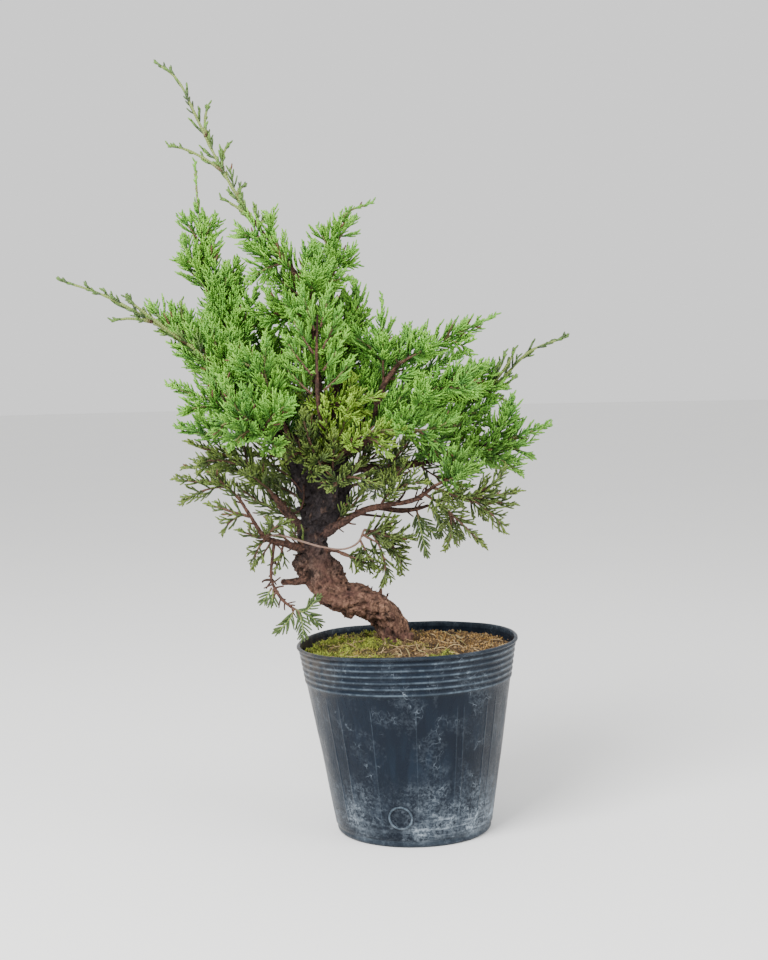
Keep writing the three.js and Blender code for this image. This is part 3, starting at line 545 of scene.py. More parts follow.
def cutDrains(piece):
    # the drain holes are cut through the floor by plain round cutters
    drains = pot["drains"]
    centre = onCircle(pot["drainCircle"], evenAngles(drains) + math.pi / drains)
    ends = centre[:, None] + upward * np.array(pot["drainEnds"])[:, None]
    cutter = tubes(ends, np.full((drains, 2), float(pot["drainRadius"])), [1.0, 0, 0], pot["drainSides"], 0.01)
    tool = linked("drainCutter", meshOf("drainCutter", cutter))
    modifier = piece.modifiers.new("drains", "BOOLEAN")
    modifier.object = tool
    modifier.solver = "EXACT"
    applyModifiers(piece)
    bpy.data.objects.remove(tool)


def potMaterial():
    # dark plastic, rubbed paler in places; paler on the ribs, lines and rim by wear and a painted glint, and inside
    # by painted light; with chalky bloom low down, scuffs, and earth near the rim
    material, inputs, place = newMaterial("softPotPlastic", 0.34, 0.12)
    x, _, z = axesOf(place)
    rubbedAndLit, = attributesOf(place, "rubbedAndLit")
    broad, fine = useGroup(mottle, place, Scale=28.0)
    upright, level = stretched(place, (1, 1, 0.12)), stretched(place, (0.3, 0.3, 2.2))
    streaks = patchesAt(upright, 170.0, 0.47, 0.08)
    clouds = patchesAt(place, 38.0, 0.5, 0.10)
    wisps = patchesAt(place, 120.0, 0.46, 0.07)
    specks = patchesAt(place, 520.0, 0.49, 0.06)
    smears = patchesAt(level, 150.0, 0.46, 0.06) * z.spread(0.036, 0.012)
    rubbed = patchesAt(place, 46.0, 0.42, 0.10)
    hairs = useGroup(scratches, place, Scale=130.0, Width=0.026) * wisps
    # a soft haze that thins out upward, specks and smears in it, and sparse thin scuffs above
    low = (z - (broad * 0.016 + clouds * 0.010)).spread(0.044, -0.014)
    low = low ** 1.7 * z.spread(0.002, 0.015, 0.12, 1.0) * x.spread(-0.03, 0.05, 0.8, 1.25)
    speckled = specks * wisps.spread(0.0, 1.0, 0.35, 1.0)
    chalk = speckled * 0.78 + streaks * 0.12 + smears * 0.46 + 0.02
    chalk = low * clouds.spread(0.0, 1.0, 0.22, 1.0) * chalk
    scuffs = rubbed * (specks * 0.08).atLeast(hairs * 0.62)
    whole = chalk.atLeast(scuffs).atLeast(hairs * (low * 0.9), clamp=True)
    worn = broad * streaks.spread(0.0, 1.0, 0.3, 1.0)
    colour = worn.blend(pot["plastic"], pot["plasticWorn"])
    # paler on the rib crests, moulded lines and rim: rubbed wear with a painted glint; paler on the inside wall:
    # painted light over its shade
    colour = (rubbedAndLit ** 9.0 * wisps.spread(0.0, 1.0, 0.35, 1.0)).blend(colour, pot["rubbedAndLit"])
    stain = x.spread(-0.045, -0.078) * z.spread(0.07, 0.12) * fine.spread(0.2, 0.9, 0.1, 0.8)
    colour = stain.blend(colour, pot["earthStain"])
    feed(inputs["Base Color"], whole.blend(colour, pot["bloom"]))
    feed(inputs["Roughness"], (whole + (fine + streaks) * 0.2).spread(0.0, 1.0, 0.24, 0.8))
    addBump(inputs, useGroup(relief, upright, Scale=800.0, Fine=0.5) + whole * 0.8, 0.00018, 0.8)
    return material


plastic = potMaterial()
potPiece = addPiece("pot_soft", meshOf("pot_soft", potShape(), ("rubbedAndLit",)), plastic, ["pot"])
cutDrains(potPiece)
addPiece("pot_mark", meshOf("pot_mark", ringShape(), ("rubbedAndLit",)), plastic, [])
print("pot:", len(potPiece.data.polygons), "faces")


# The soil, with its moss, grit and litter

soil = {
    "top": 121.5, "mound": 5.5, "moundWidth": 40, "fallRight": 0.9, "fallBack": -0.9, "lump": 1.1,
    "backDrop": 3.6, "leftDrop": 5.5,
    "floorRadii": (8, 30), "under": ((49.4, 1.55), (51.75, 3.8), (60, 60)), "underTop": 70,
    "mossPatches": ((20, -50, 130, 1), (8, -18, 60, 0.8)),  # middle, size and share of each patch
    "lumpWaves": (0.19, 0.23, 0.31), "rings": 84, "sides": 168, "crumb": 2.2, "cushion": 4.6, "gap": 0.35,
    "grit": 850, "gritSize": (0.4, 1.5), "sprigs": 2400, "sprigHeight": (1.6, 4.2), "sprigRadius": (0.3, 0.55),
    "needles": 130, "needleLength": (4, 13), "needleRadius": (0.22, 0.38),
    "straws": 12, "strawLength": (11, 26), "strawRadius": (0.24, 0.46), "strawPlace": (-2, -26), "strawSpread": 14,
    "litterBow": 0.07, "litterLift": (0.3, 1.4), "litterTilt": 0.7, "litterGreen": 0.5, "litterBrown": 0.8,
    "earth": (0.022, 0.013, 0.008), "earthPale": (0.37, 0.235, 0.105), "rust": (0.27, 0.140, 0.030),
    "rustPale": (0.42, 0.265, 0.085), "moss": (0.034, 0.060, 0.008), "mossBright": (0.37, 0.42, 0.045),
    "straw": (0.50, 0.37, 0.19), "strawDark": (0.10, 0.052, 0.025),
    "strawGreen": (0.16, 0.17, 0.05), "strawGreenPale": (0.30, 0.30, 0.10),
}


def soilHeight(x, y):
    # a mound round the trunk on a plane that falls to the right and rises to the back, with three waves of lumps;
    # the edge is lower at the back and sinks at the far left
    waveX, waveY, waveBoth = soil["lumpWaves"]
    mound = soil["mound"] * np.exp(-(x ** 2 + y ** 2) / soil["moundWidth"] ** 2)
    fall = (soil["fallRight"] * x + soil["fallBack"] * y) / pot["rimRadius"]
    lumps = np.sin(waveX * x + 1) * np.cos(waveY * y) + np.sin(waveBoth * (x + y)) / 2
    edge = np.clip(np.hypot(x, y) / topRadius, 0, 1)
    back = soil["backDrop"] * edge ** 3 * np.clip(y / pot["rimRadius"], 0, 1) ** 0.6
    left = soil["leftDrop"] * np.clip(edge * 7 - 5.9, 0, 1) * np.exp(-((y - 6) / 30) ** 2) * (x < 0)
    return soil["top"] + mound - fall + soil["lump"] * lumps - back - left


def mossShare(x, y):
    # how mossy the soil is, from 0 to 1: most on the left and in a patch at the front right, broken up by noise
    left = 1 / (1 + np.exp((x + 16 + 6 * np.sin(y / 12)) / 7))
    patch = sum(share * np.exp(-((x - across) ** 2 + (y - back) ** 2) / size)
                for across, back, size, share in soil["mossPatches"])
    return np.clip(0.9 * left + patch + 0.55 * noiseOver(x, y, 13, "moss", 3) - 0.12, 0, 1)


def rustShare(x, y):
    # rusty brown moss, most on the right and behind
    right = 1 / (1 + np.exp(-(x - 14) / 12))
    return np.clip(right * 0.9 + 0.6 * noiseOver(x, y, 16, "rust", 3) - 0.1, 0, 1)


topRadius = wallRadius(soil["top"]) - pot["wall"] - soil["gap"]


def crumbs(x, y):
    # the height of the crumbs on the top: lumps of 4 mm under ones of 1.5 mm, and rounded cushions of moss of 9 mm
    coarse = noiseOver(x, y, 4.2, "crumb", 2)
    fine = noiseOver(x, y, 1.5, "fineCrumb", 2)
    cushion = np.clip(1 - np.abs(noiseOver(x, y, 9, "cushion", 2)) * 1.6, 0, 1) ** 0.7
    mossy = np.maximum(mossShare(x, y), 0.45 * rustShare(x, y))
    return soil["crumb"] * (0.75 * coarse + 0.45 * fine) + soil["cushion"] * mossy * (cushion - 0.35)


def soilShape():
    part = np.linspace(1, 1 / soil["rings"], soil["rings"])
    top = np.stack([part * topRadius, np.full(len(part), float(soil["top"]))], axis=-1)
    floor = [[radius, pot["floor"] + soil["gap"]] for radius in soil["floorRadii"]]
    shape = lathed(np.vstack([floor, soil["under"], top]), evenAngles(soil["sides"]))
    x, y, z = shape["points"].T
    isTop = z > soil["underTop"]
    share = np.clip(np.hypot(x, y) / topRadius, 0, 1)
    bits = crumbs(x, y)
    height = soilHeight(x, y) + bits * np.clip((1 - share) * 12, 0.25, 1)
    wider = 1 + share * (wallRadius(height) - wallRadius(soil["top"])) / topRadius
    points = np.where(isTop[:, None], np.stack([x * wider, y * wider, height], axis=-1), shape["points"])
    shape["points"] = settle(points)
    shape["moss"] = np.where(isTop, mossShare(x, y), 0)
    shape["rust"] = np.where(isTop, rustShare(x, y), 0)
    # painted shade: darker in the hollows between the crumbs, and fully dark on the soil's sides and underside
    shape["hollow"] = np.where(isTop, np.clip(0.35 - 0.45 * bits, 0, 1), 1)
    return shape


def scattered(count, inner=0.0, outer=0.97):
    # points spread evenly over the top
    radius = topRadius * np.sqrt(draw.uniform(inner ** 2, outer ** 2, count))
    angle = draw.uniform(0, 2 * math.pi, count)
    return radius * np.cos(angle), radius * np.sin(angle)


def onTop(x, y, lift):
    return settle(np.stack([x, y, soilHeight(x, y) + crumbs(x, y) * 0.8 + lift], axis=-1))


def randomUnit(count):
    return unit(draw.normal(size=(count, 3)))


def gritShape():
    # pebbles: short tubes that swell in the middle, turned any way
    count = soil["grit"]
    x, y = scattered(count)
    size = draw.uniform(*soil["gritSize"], count) * draw.uniform(0.6, 1, count)
    axis = randomUnit(count)
    t = np.array([-0.75, 0, 0.75])
    centres = onTop(x, y, size * 0.25)[:, None] + axis[:, None] * (t[:, None] * size[:, None, None])
    radii = size[:, None, None] * np.array([0.62, 1, 0.6])[:, None] * draw.uniform(0.75, 1.2, (count, 1, 5))
    shape = tubes(centres, radii, randomUnit(count)[:, None], 5, 0.35)
    return perTube(shape, tone=draw.uniform(0, 1, count), green=np.clip(mossShare(x, y) - 0.45, 0, 0.7))


def sprigShape():
    # moss: short leaning blades, thick in the mossy places
    x, y = scattered(soil["sprigs"] * 4, 0.0, 0.99)
    moss, rust = mossShare(x, y), rustShare(x, y)
    kept = draw.uniform(0, 1, len(x)) < np.maximum(moss, 0.55 * rust) ** 1.5
    x, y, moss, rust = (values[kept][:soil["sprigs"]] for values in (x, y, moss, rust))
    count = len(x)
    lean = unit(np.stack([draw.normal(0, 0.7, count), draw.normal(0, 0.7, count), np.ones(count)], axis=-1))
    size = draw.uniform(*soil["sprigHeight"], count) * (0.6 + 0.4 * moss)
    t = np.array([0, 0.45, 0.85])[:, None]
    bend = np.stack([draw.normal(0, 0.3, count), draw.normal(0, 0.3, count), np.zeros(count)], axis=-1)
    blades = lean[:, None] * t + bend[:, None] * t ** 2
    centres = onTop(x, y, -0.5)[:, None] + size[:, None, None] * blades
    radii = draw.uniform(*soil["sprigRadius"], (count, 1)) * np.array([0.8, 1, 0.6])
    shape = tubes(centres, radii, randomUnit(count)[:, None], 3, 1.6)
    perTube(shape, tone=draw.uniform(0, 1, count), green=np.clip(moss - 0.6 * rust + 0.2, 0, 1))
    shape["tone"] = shape["tone"] * (0.3 + 0.7 * shape["reach"])
    return shape


def litterShape(kind, rings, corners, x, y):
    # dead needles and straws that lie on the soil, each on a shallow bow
    count = len(x)
    turn = draw.uniform(0, 2 * math.pi, count)[:, None]
    size = draw.uniform(*soil[kind + "Length"], count)[:, None]
    t = np.linspace(-0.5, 0.5, rings)
    bow = draw.normal(0, soil["litterBow"], count)[:, None] * (1 - 4 * t ** 2)
    alongX = x[:, None] + size * (np.cos(turn) * t - np.sin(turn) * bow)
    alongY = y[:, None] + size * (np.sin(turn) * t + np.cos(turn) * bow)
    limit = topRadius * 0.97 / np.maximum(np.hypot(alongX, alongY), topRadius * 0.97)
    alongX, alongY = alongX * limit, alongY * limit
    lift = draw.uniform(*soil["litterLift"], (count, 1)) + draw.normal(0, soil["litterTilt"], (count, 1)) * t
    centres = onTop(alongX.ravel(), alongY.ravel(), lift.ravel()).reshape(count, rings, 3)
    smooth = centres.copy()
    smooth[:, 1:-1, 2] = (centres[:, :-2, 2] + 2 * centres[:, 1:-1, 2] + centres[:, 2:, 2]) / 4 + 0.2
    thick = draw.uniform(*soil[kind + "Radius"], (count, 1)) * np.interp(t, [-0.5, 0, 0.5], [0.7, 1, 0.55])
    tone, rank = draw.uniform(0, 1, (2, count))
    green = (rank > soil["litterBrown"]) * soil["litterGreen"]
    return perTube(tubes(smooth, thick, upward, corners), tone=tone, green=green)


def soilMaterial():
    material, inputs, place = newMaterial("mossySoil", 0.92, 0.25)
    broad, fine = useGroup(mottle, place, Scale=130.0)
    moss, rust, hollow = attributesOf(place, "moss", "rust", "hollow")
    earth = fine.spread(0.15, 0.85).blend(soil["earth"], soil["earthPale"])
    rusty = fine.spread(0.1, 0.8).blend(soil["earth"], soil["rust"])
    earth = (rust * broad.spread(0.0, 1.0, 0.25, 1.0)).blend(earth, rusty)
    green = fine.spread(0.15, 0.85).blend(soil["moss"], soil["mossBright"])
    colour = (moss + fine * 0.35).spread(0.35, 0.95).blend(earth, green)
    # darkened toward the dark earth by painted shade in the hollows, and by dark patches at random
    dark = hollow.atLeast(patchesAt(place, 70.0, 0.52, 0.08) * 0.8)
    feed(inputs["Base Color"], dark.blend(colour, soil["earth"]))
    addBump(inputs, useGroup(relief, place, Scale=900.0, Fine=0.6), 0.0009)
    return material


def toneMaterial(name, dark, pale, greenDark, greenPale, roughness):
    # loose bits on the soil: each bit has its own tone, and some are green
    material, inputs, place = newMaterial(name, roughness, 0.3)
    fine = useGroup(mottle, place, Scale=300.0)[1]
    tone, green = attributesOf(place, "tone", "green")
    share = tone * 0.7 + fine * 0.3
    bare, grown = share.blend(soil[dark], soil[pale]), share.blend(soil[greenDark], soil[greenPale])
    feed(inputs["Base Color"], green.blend(bare, grown))
    addBump(inputs, useGroup(relief, place, Scale=1600.0, Fine=0.5), 0.0002)
    return material


def addLoose(name, shape, *look):
    addPiece(name, meshOf(name, shape, ("tone", "green")), toneMaterial(*look), [])


addPiece("soil_top", meshOf("soil_top", soilShape(), ("moss", "rust", "hollow")), soilMaterial(), ["soil"])
addLoose("soil_grit", gritShape(), "gritStone", "earth", "earthPale", "moss", "mossBright", 0.85)
addLoose("soil_moss", sprigShape(), "mossBlades", "rust", "rustPale", "moss", "mossBright", 0.7)
strawX, strawY = (draw.normal(middle, soil["strawSpread"], soil["straws"]) for middle in soil["strawPlace"])
litter = joined([litterShape("needle", 5, 4, *scattered(soil["needles"], 0.12, 0.94)),
                 litterShape("straw", 7, 5, strawX, strawY)])
addLoose("soil_litter", litter, "dryLitter", "strawDark", "straw", "strawGreen", "strawGreenPale", 0.75)
print("soil: top, grit, moss and litter")


# The wood: trunk, limbs and twigs

bark = {
    "lump": 0.09, "waves": (2, 3, 5), "climb": 0.17, "from": 130,
    "sides": 24, "spacing": 1.8, "voxel": 0.88, "twigRadius": 1.7,
    "plate": 2.5, "stretch": 0.6, "depth": 0.12, "deepest": 1.3, "burr": 0.06, "burrSize": 6,
    "pitLevel": 0.34, "pitDepth": 2.6, "nubFrom": 0.3, "nubTo": 0.93, "twigSides": 7, "twigGirth": 1.1,
    "nubs": 80, "nubLength": (0.8, 3.8), "nubRadius": (0.8, 1.7),
    "twiglets": 190, "twigletLength": (4, 11), "twigletRadius": (0.45, 0.75), "bareTwigRadius": (0.55, 0.8),
    "red": (0.078, 0.035, 0.027), "flake": (0.33, 0.185, 0.115), "pit": (0.010, 0.006, 0.005),
    "dark": (0.014, 0.011, 0.013), "darkFlake": (0.062, 0.048, 0.048),
    "twig": (0.155, 0.074, 0.050), "twigDark": (0.040, 0.022, 0.018), "paleTwig": (0.21, 0.135, 0.105),
}
limbs = {
    "trunk": {"path": [(-5, 0, 87), (-7, 0, 104), (-8, 0, 119), (-11, -2, 132), (-18, -3, 147), (-32, -4, 156),
        (-48, -4, 161), (-58, -3, 172), (-63, 0, 184), (-65, 1, 196), (-64, 1, 208), (-59, 2, 221), (-53, 2, 235),
        (-51, 3, 248), (-52, 3, 262), (-56, 2, 279)], "radius": [8, 9, 9.5, 9.5, 10.5, 10.9, 11, 12.3, 12.5, 10, 9,
        12, 12, 10.5, 7.5, 4.2]},
    "leader": {"path": [(-53, 2, 265), (-59, 0, 292), (-59, -4, 326), (-65, -4, 358), (-77, -4, 385), (-94, -4, 405)],
        "radius": [5, 3.2, 2.3, 2, 1.7, 1.4]},
    "front_stem": {"path": [(-52, 0, 258), (-56, -18, 274), (-58, -31, 292), (-58, -35, 322), (-57, -32, 348)],
        "radius": [1.8, 1.6, 1.4, 1.05, 0.65]},
    "burl": {"path": [(-63, 0, 183), (-70, -2, 182), (-77, -4, 183)], "radius": [10, 9, 5]},
    "burl_low": {"path": [(-64, -2, 178), (-73, -4, 176)], "radius": [9, 5.5]},
    "shaggy_side": {"path": [(-52, 1, 209), (-48, 2, 226), (-44, 3, 246)], "radius": [6.5, 8.5, 7.5]},
    "fork_root": {"path": [(-61, 1, 219), (-71, 2, 238), (-81, 4, 257)], "radius": [7, 7, 5.5]},
    "right_knob": {"path": [(-57, -2, 176), (-47, -6, 179)], "radius": [9, 5]},
    "shoulder": {"path": [(-27, -3, 150), (-19, -5, 157)], "radius": [9, 6]},
    "foot_stub": {"path": [(-4, -6, 118), (-2, -7, 127), (0, -8, 134)], "radius": [3.4, 2.8, 2]},
    "lower_knob": {"path": [(-40, -4, 160), (-42, -6, 147)], "radius": [9, 4]},
    "stub": {"path": [(-60, -4, 174), (-75, -8, 171), (-86, -10, 171)], "radius": [3.6, 2.8, 2]},
    "left_limb": {"path": [(-51, 3, 243), (-69, 2, 250), (-82, 5, 260), (-95, 8, 273), (-106, 13, 292)], "radius": [7,
        6.5, 5.6, 4.5, 2.4]},
    "long_left": {"path": [(-87, 6, 264), (-105, 0, 284), (-120, -8, 303)], "radius": [3.4, 2.6, 1.6]},
    "mid_left": {"path": [(-89, 6, 266), (-103, -16, 278)], "radius": [2.6, 1.6]},
    "front_left": {"path": [(-79, 4, 257), (-88, -20, 266)], "radius": [2.6, 1.6]},
    "fork": {"path": [(-75, 2, 255), (-81, -20, 277)], "radius": [2.6, 1.6]},
    "low_left": {"path": [(-66, 1, 197), (-80, -3, 215), (-91, -5, 230)], "radius": [4, 3, 1.8]},
    "bottom_left": {"path": [(-64, 0, 189), (-80, -12, 196), (-96, -16, 202), (-104, -16, 214), (-112, -14, 227)],
        "radius": [3, 2.4, 1.9, 1.5, 1.2]},
    "hanging_twig": {"path": [(-90, -14, 199), (-91, -20, 190), (-92, -22, 174), (-85, -24, 161), (-79, -25, 156)],
        "radius": [1.3, 1.1, 1.05, 1, 0.9]},
    "crossing_twig": {"path": [(-97, -16, 202), (-86, -24, 204), (-58, -27, 196), (-43, -24, 194), (-34, -22, 198),
        (-30, -20, 206)], "radius": [0.85, 0.75, 0.7, 0.7, 0.7, 0.7]},
    "tuft_twig": {"path": [(-63, 0, 187), (-53, -10, 192), (-44, -15, 190)], "radius": [1.8, 1.4, 1.1]},
    "right_low": {"path": [(-64, 1, 198), (-43, -10, 211), (-31, -14, 218), (-16, -20, 222), (4, -26, 226),
        (17, -30, 235)], "radius": [4, 2.7, 2.3, 2, 1.7, 1.4]},
    "right_hang": {"path": [(-22, -18, 221), (-6, -16, 218), (6, -16, 219), (13, -16, 221)], "radius": [2.2, 1.8, 1.4,
        1.2]},
    "right_mid": {"path": [(-52, 3, 241), (-32, 8, 245), (-5, 8, 246), (20, 4, 250)], "radius": [4, 3.2, 2.6, 1.6]},
    "far_right": {"path": [(-52, 3, 250), (-22, 15, 264), (-1, 20, 271), (23, 22, 280)], "radius": [4, 3, 2.4, 1.6]},
    "front_right": {"path": [(-51, 2, 253), (-38, -4, 259), (-18, -14, 268), (3, -26, 285)], "radius": [3.6, 2.8, 2.3,
        1.5]},
    "upper_right": {"path": [(-52, 3, 252), (-35, -3, 270), (-20, -7, 285), (-15, -10, 301), (-5, -12, 315)],
        "radius": [4, 3.2, 2.7, 2.2, 1.5]},
    "crown": {"path": [(-53, 3, 261), (-49, 12, 285), (-46, 20, 319)], "radius": [4, 3, 1.6]},
    "bright_front": {"path": [(-51, 1, 249), (-41, -18, 259)], "radius": [2.4, 1.6]},
    "trunk_front": {"path": [(-52, 1, 235), (-47, -14, 238)], "radius": [1.8, 1.4]},
    "trunk_front_left": {"path": [(-51, 2, 246), (-57, -11, 250)], "radius": [1.8, 1.4]},
    "back_left": {"path": [(-52, 4, 250), (-75, 32, 264), (-90, 46, 274)], "radius": [4, 2.8, 1.6]},
    "back_right": {"path": [(-52, 4, 254), (-36, 32, 265), (-22, 46, 274)], "radius": [4, 2.8, 1.6]},
    "back_up": {"path": [(-53, 3, 264), (-58, 28, 292)], "radius": [3, 1.6]},
    "back_low_left": {"path": [(-58, 2, 219), (-76, 30, 225)], "radius": [3, 1.6]},
    "back_low_right": {"path": [(-54, 2, 230), (-38, 30, 232)], "radius": [3, 1.6]},
    "back_centre": {"path": [(-51, 3, 245), (-50, 34, 258)], "radius": [3, 1.6]},
}
# the limbs that carry no twiglets
smoothLimbs = ("trunk", "leader", "front_stem", "burl", "burl_low", "shaggy_side", "fork_root", "foot_stub",
               "shoulder", "right_knob", "lower_knob", "stub", "crossing_twig", "tuft_twig")
# bare stubs and thin dead twigs: where each starts and ends
bareTwigs = [
    ((-92, -22, 174), (-98, -24, 173)), ((-91, -22, 171), (-97, -24, 169)), ((-92, -22, 172), (-86, -24, 176)),
    ((-90, -22, 168), (-84, -24, 170)), ((-66, 1, 200), (-88, -8, 222)), ((-74, -2, 208), (-92, 4, 216)),
    ((-80, -3, 216), (-70, -10, 236)), ((-62, 0, 214), (-78, -6, 240)), ((-56, 3, 226), (-70, 8, 246)),
    ((-50, 2, 218), (-38, -6, 226)), ((-50, 0, 212), (-36, -8, 214)), ((-66, 0, 192), (-78, -8, 189)),
    ((-34, -12, 216), (-8, -14, 213)), ((-30, 9, 245), (-14, 2, 236)), ((-10, -18, 222), (-2, -14, 238)),
]

def limbLine(name):
    # centres, directions, carried sides and radii along a limb, at a steady spacing
    limb = limbs[name]
    path = densePath(limb["path"])
    length = pathLength(path)
    parts = np.linspace(0, 1, max(5, round(length / bark["spacing"])))
    centres, along = walk(path, parts)
    # radii are given at even parts of the path's points, as in its own solid
    nearest = np.interp(parts * length, runAlong(path), np.linspace(0, 1, len(path)))
    radii = np.interp(nearest, np.linspace(0, 1, len(limb["radius"])), limb["radius"])
    return centres, along, carriedSides(along), radii, parts * length


def limbTube(name, corners):
    centres, _, sides, radii, run = limbLine(name)
    angle = evenAngles(corners)
    radii = np.repeat(radii[:, None], corners, axis=1)
    if name == "trunk":
        # the same waves as the solid's: some round the trunk, some climbing it
        once, twice, often = bark["waves"]
        z = centres[:, 2:3]
        climb = bark["climb"] * z
        wave = np.sin(once * angle + climb) + np.sin(twice * angle - climb) + np.sin(often * angle + z) / 2
        radii = radii * (1 + bark["lump"] * wave * np.clip((z - bark["from"]) / 6, 0, 1))
    else:
        swell = layeredNoise(np.stack([run / 7, 0 * run + len(name), 0 * run], axis=-1), len(name), 2)
        radii = radii * (1 + 0.12 * swell[:, None])
    return tubes(centres[None], radii[None], sides[None], corners, 0.6)


def nubShape():
    # ragged stubs where old twigs broke off, most of them on the trunk's underside
    centres, along, sides, radii, _ = limbLine("trunk")
    count = bark["nubs"]
    at = draw.integers(int(len(centres) * bark["nubFrom"]), int(len(centres) * bark["nubTo"]), count)
    along, radii = along[at], radii[at][:, None]
    outward = turned(sides[at], along, draw.uniform(0, 2 * math.pi, count))
    outward[:, 2] -= np.where(draw.uniform(0, 1, count) < 0.6, 0.9, 0)
    outward = unit(outward - dot(outward, along) * along)
    size = draw.uniform(*bark["nubLength"], (count, 1)) + radii * 0.2
    start = centres[at] + outward * radii * 0.8
    way = outward + along * draw.normal(0, 0.35, (count, 1))
    lines = start[:, None] + way[:, None] * (np.array([0, 0.5, 1.0])[:, None] * size[:, None])
    thick = draw.uniform(*bark["nubRadius"], (count, 1)) * np.array([1.5, 1.0, 0.7])
    return tubes(lines, thick, [0.3, 0.9, 0.2], 8, 0.5)


def nearestOnLimbs(points, batch=4000, apart=61.7):
    # for each point: the girth there and its place round and along the nearest limb
    lines = [limbLine(name) for name in limbs]
    centres, along, sides, radii, run = (np.concatenate([line[k] for line in lines]) for k in range(5))
    run = run + np.concatenate([np.full(len(line[0]), apart * number) for number, line in enumerate(lines)])
    found = np.empty(len(points), int)
    for first in range(0, len(points), batch):
        some = points[first:first + batch]
        off = np.linalg.norm(some[:, None] - centres[None], axis=2) - radii
        found[first:first + batch] = off.argmin(axis=1)
    offset = points - centres[found]
    side, way = sides[found], along[found]
    turn = np.arctan2((offset * np.cross(way, side)).sum(1), (offset * side).sum(1))
    return radii[found], turn, run[found] + (offset * way).sum(1)


def barkHeight(girth, turn, run):
    # long plates that wind round the limb: terraces of one noise, split by the valleys of another, with pits
    wind = turn + run * 0.012
    cell = bark["plate"] * np.clip(girth / 11, 0.35, 1)
    across = onCircle(girth, wind, run * bark["stretch"]) / cell[:, None]
    plates = layeredNoise(across, seeds["plate"], 3) * 3
    valleys = np.clip(1 - np.abs(layeredNoise(across * 0.8 + 40, seeds["valley"], 3)) * 2.4, 0, 1)
    pits = layeredNoise(across * np.array([0.75, 0.75, 1.2]) + 90, seeds["pit"], 2)
    pits = np.clip(pits - bark["pitLevel"], 0, 1) * bark["pitDepth"]
    terraces = (np.floor(plates) + np.clip(np.modf(plates + 60)[0] * 3, 0, 1)) / 3
    # the valleys and pits that are sunk into the bark are also painted dark: painted shade in those recesses
    hollow = np.clip(valleys ** 2 * 0.8 + pits, 0, 1)
    return 0.75 * terraces - 0.8 * valleys ** 3 - pits, hollow


def twigTubes(paths, radius, thickFirst, thickLast):
    # thin twigs, each of its own thickness
    count, rings = paths.shape[:2]
    thick = draw.uniform(*radius, (count, 1)) * np.linspace(thickFirst, thickLast, rings)
    return tubes(paths, thick, [0.2, 0.9, 0.3], 5, 0.8)


def bareTwigShape():
    # the named bare twigs, each on its own shallow bow
    starts, ends = (np.array([twig[k] for twig in bareTwigs], float) for k in (0, 1))
    bend = draw.normal(0, 0.13, starts.shape) * np.linalg.norm(ends - starts, axis=1, keepdims=True)
    t = np.linspace(0, 1, 7)[:, None]
    paths = starts[:, None] + (ends - starts)[:, None] * t + bend[:, None] * 4 * t * (1 - t)
    return twigTubes(paths, bark["bareTwigRadius"], 1.3, 0.8)


def twigletShape():
    # short bare twigs that stand on the limbs under the foliage
    lines = [limbLine(name) for name in limbs if name not in smoothLimbs]
    count = bark["twiglets"]
    at = draw.integers(0, sum(len(line[0]) for line in lines), count)
    centres, along, sides = (np.concatenate([line[k] for line in lines])[at] for k in range(3))
    outward = turned(sides, along, draw.uniform(0, 2 * math.pi, count))
    last = unit(outward * 0.6 + along + draw.normal(0, 0.35, (count, 3)))
    length = draw.uniform(*bark["twigletLength"], count)
    twiglets = {"start": centres, "first": unit(outward + 0.5 * along), "last": last, "length": length}
    return twigTubes(cordLine(twiglets, np.linspace(0, 1, 6)), bark["twigletRadius"], 1.2, 0.75)


def vectorsOf(vertices, name):
    values = np.empty(len(vertices) * 3, np.float32)
    vertices.foreach_get(name, values)
    return values.reshape(-1, 3).astype(float)


def woodMesh():
    # thick limbs are fused and their bark is raised along the normals; thin twigs are added as they are
    thick = [name for name in limbs if max(limbs[name]["radius"]) > bark["twigRadius"] * 1.35]
    shape = joined([limbTube(name, bark["sides"]) for name in thick] + [nubShape()])
    piece = linked("woodForm", meshOf("woodForm", shape))
    remesh = piece.modifiers.new("fuse", "REMESH")
    remesh.mode = "VOXEL"
    remesh.voxel_size = bark["voxel"] * millimetre
    applyModifiers(piece)
    mesh = piece.data
    points, normals = vectorsOf(mesh.vertices, "co") / millimetre, vectorsOf(mesh.vertices, "normal")
    girth, turn, run = nearestOnLimbs(points)
    height, hollow = barkHeight(girth, turn, run)
    burrs = layeredNoise(points / bark["burrSize"], seeds["burr"], 2) * bark["burr"] * girth
    points += normals * (height * np.minimum(bark["depth"] * girth, bark["deepest"]) + burrs)[:, None]
    corners = np.empty(len(mesh.loops), np.int32)
    mesh.loops.foreach_get("vertex_index", corners)
    bpy.data.objects.remove(piece)
    fused = {"points": points, "quads": corners.reshape(-1, 4), "triangles": np.zeros((0, 3), int),
             "girth": girth, "hollow": hollow, "pale": 0 * girth}
    twigs = {name: limbTube(name, bark["twigSides"]) for name in limbs if name not in thick}
    twigs["twiglets"] = twigletShape()
    twigs["bare"] = bareTwigShape()
    for name, twig in twigs.items():
        # one twig that crosses the trunk is pale and clean
        isPale = name == "crossing_twig"
        # on the twigs the dark pits are painted at random as shade, and left off the pale twig
        pitted = 0.35 + layeredNoise(twig["points"] / 2.2, seeds["twigHollow"], 2)
        twig["girth"] = np.full(len(pitted), bark["twigGirth"])
        twig["hollow"] = np.clip(pitted, 0, 0.8) * (not isPale)
        twig["pale"] = np.full(len(pitted), float(isPale))
    return meshOf("wood_bark", joined([fused, *twigs.values()]), ("girth", "hollow", "pale"))


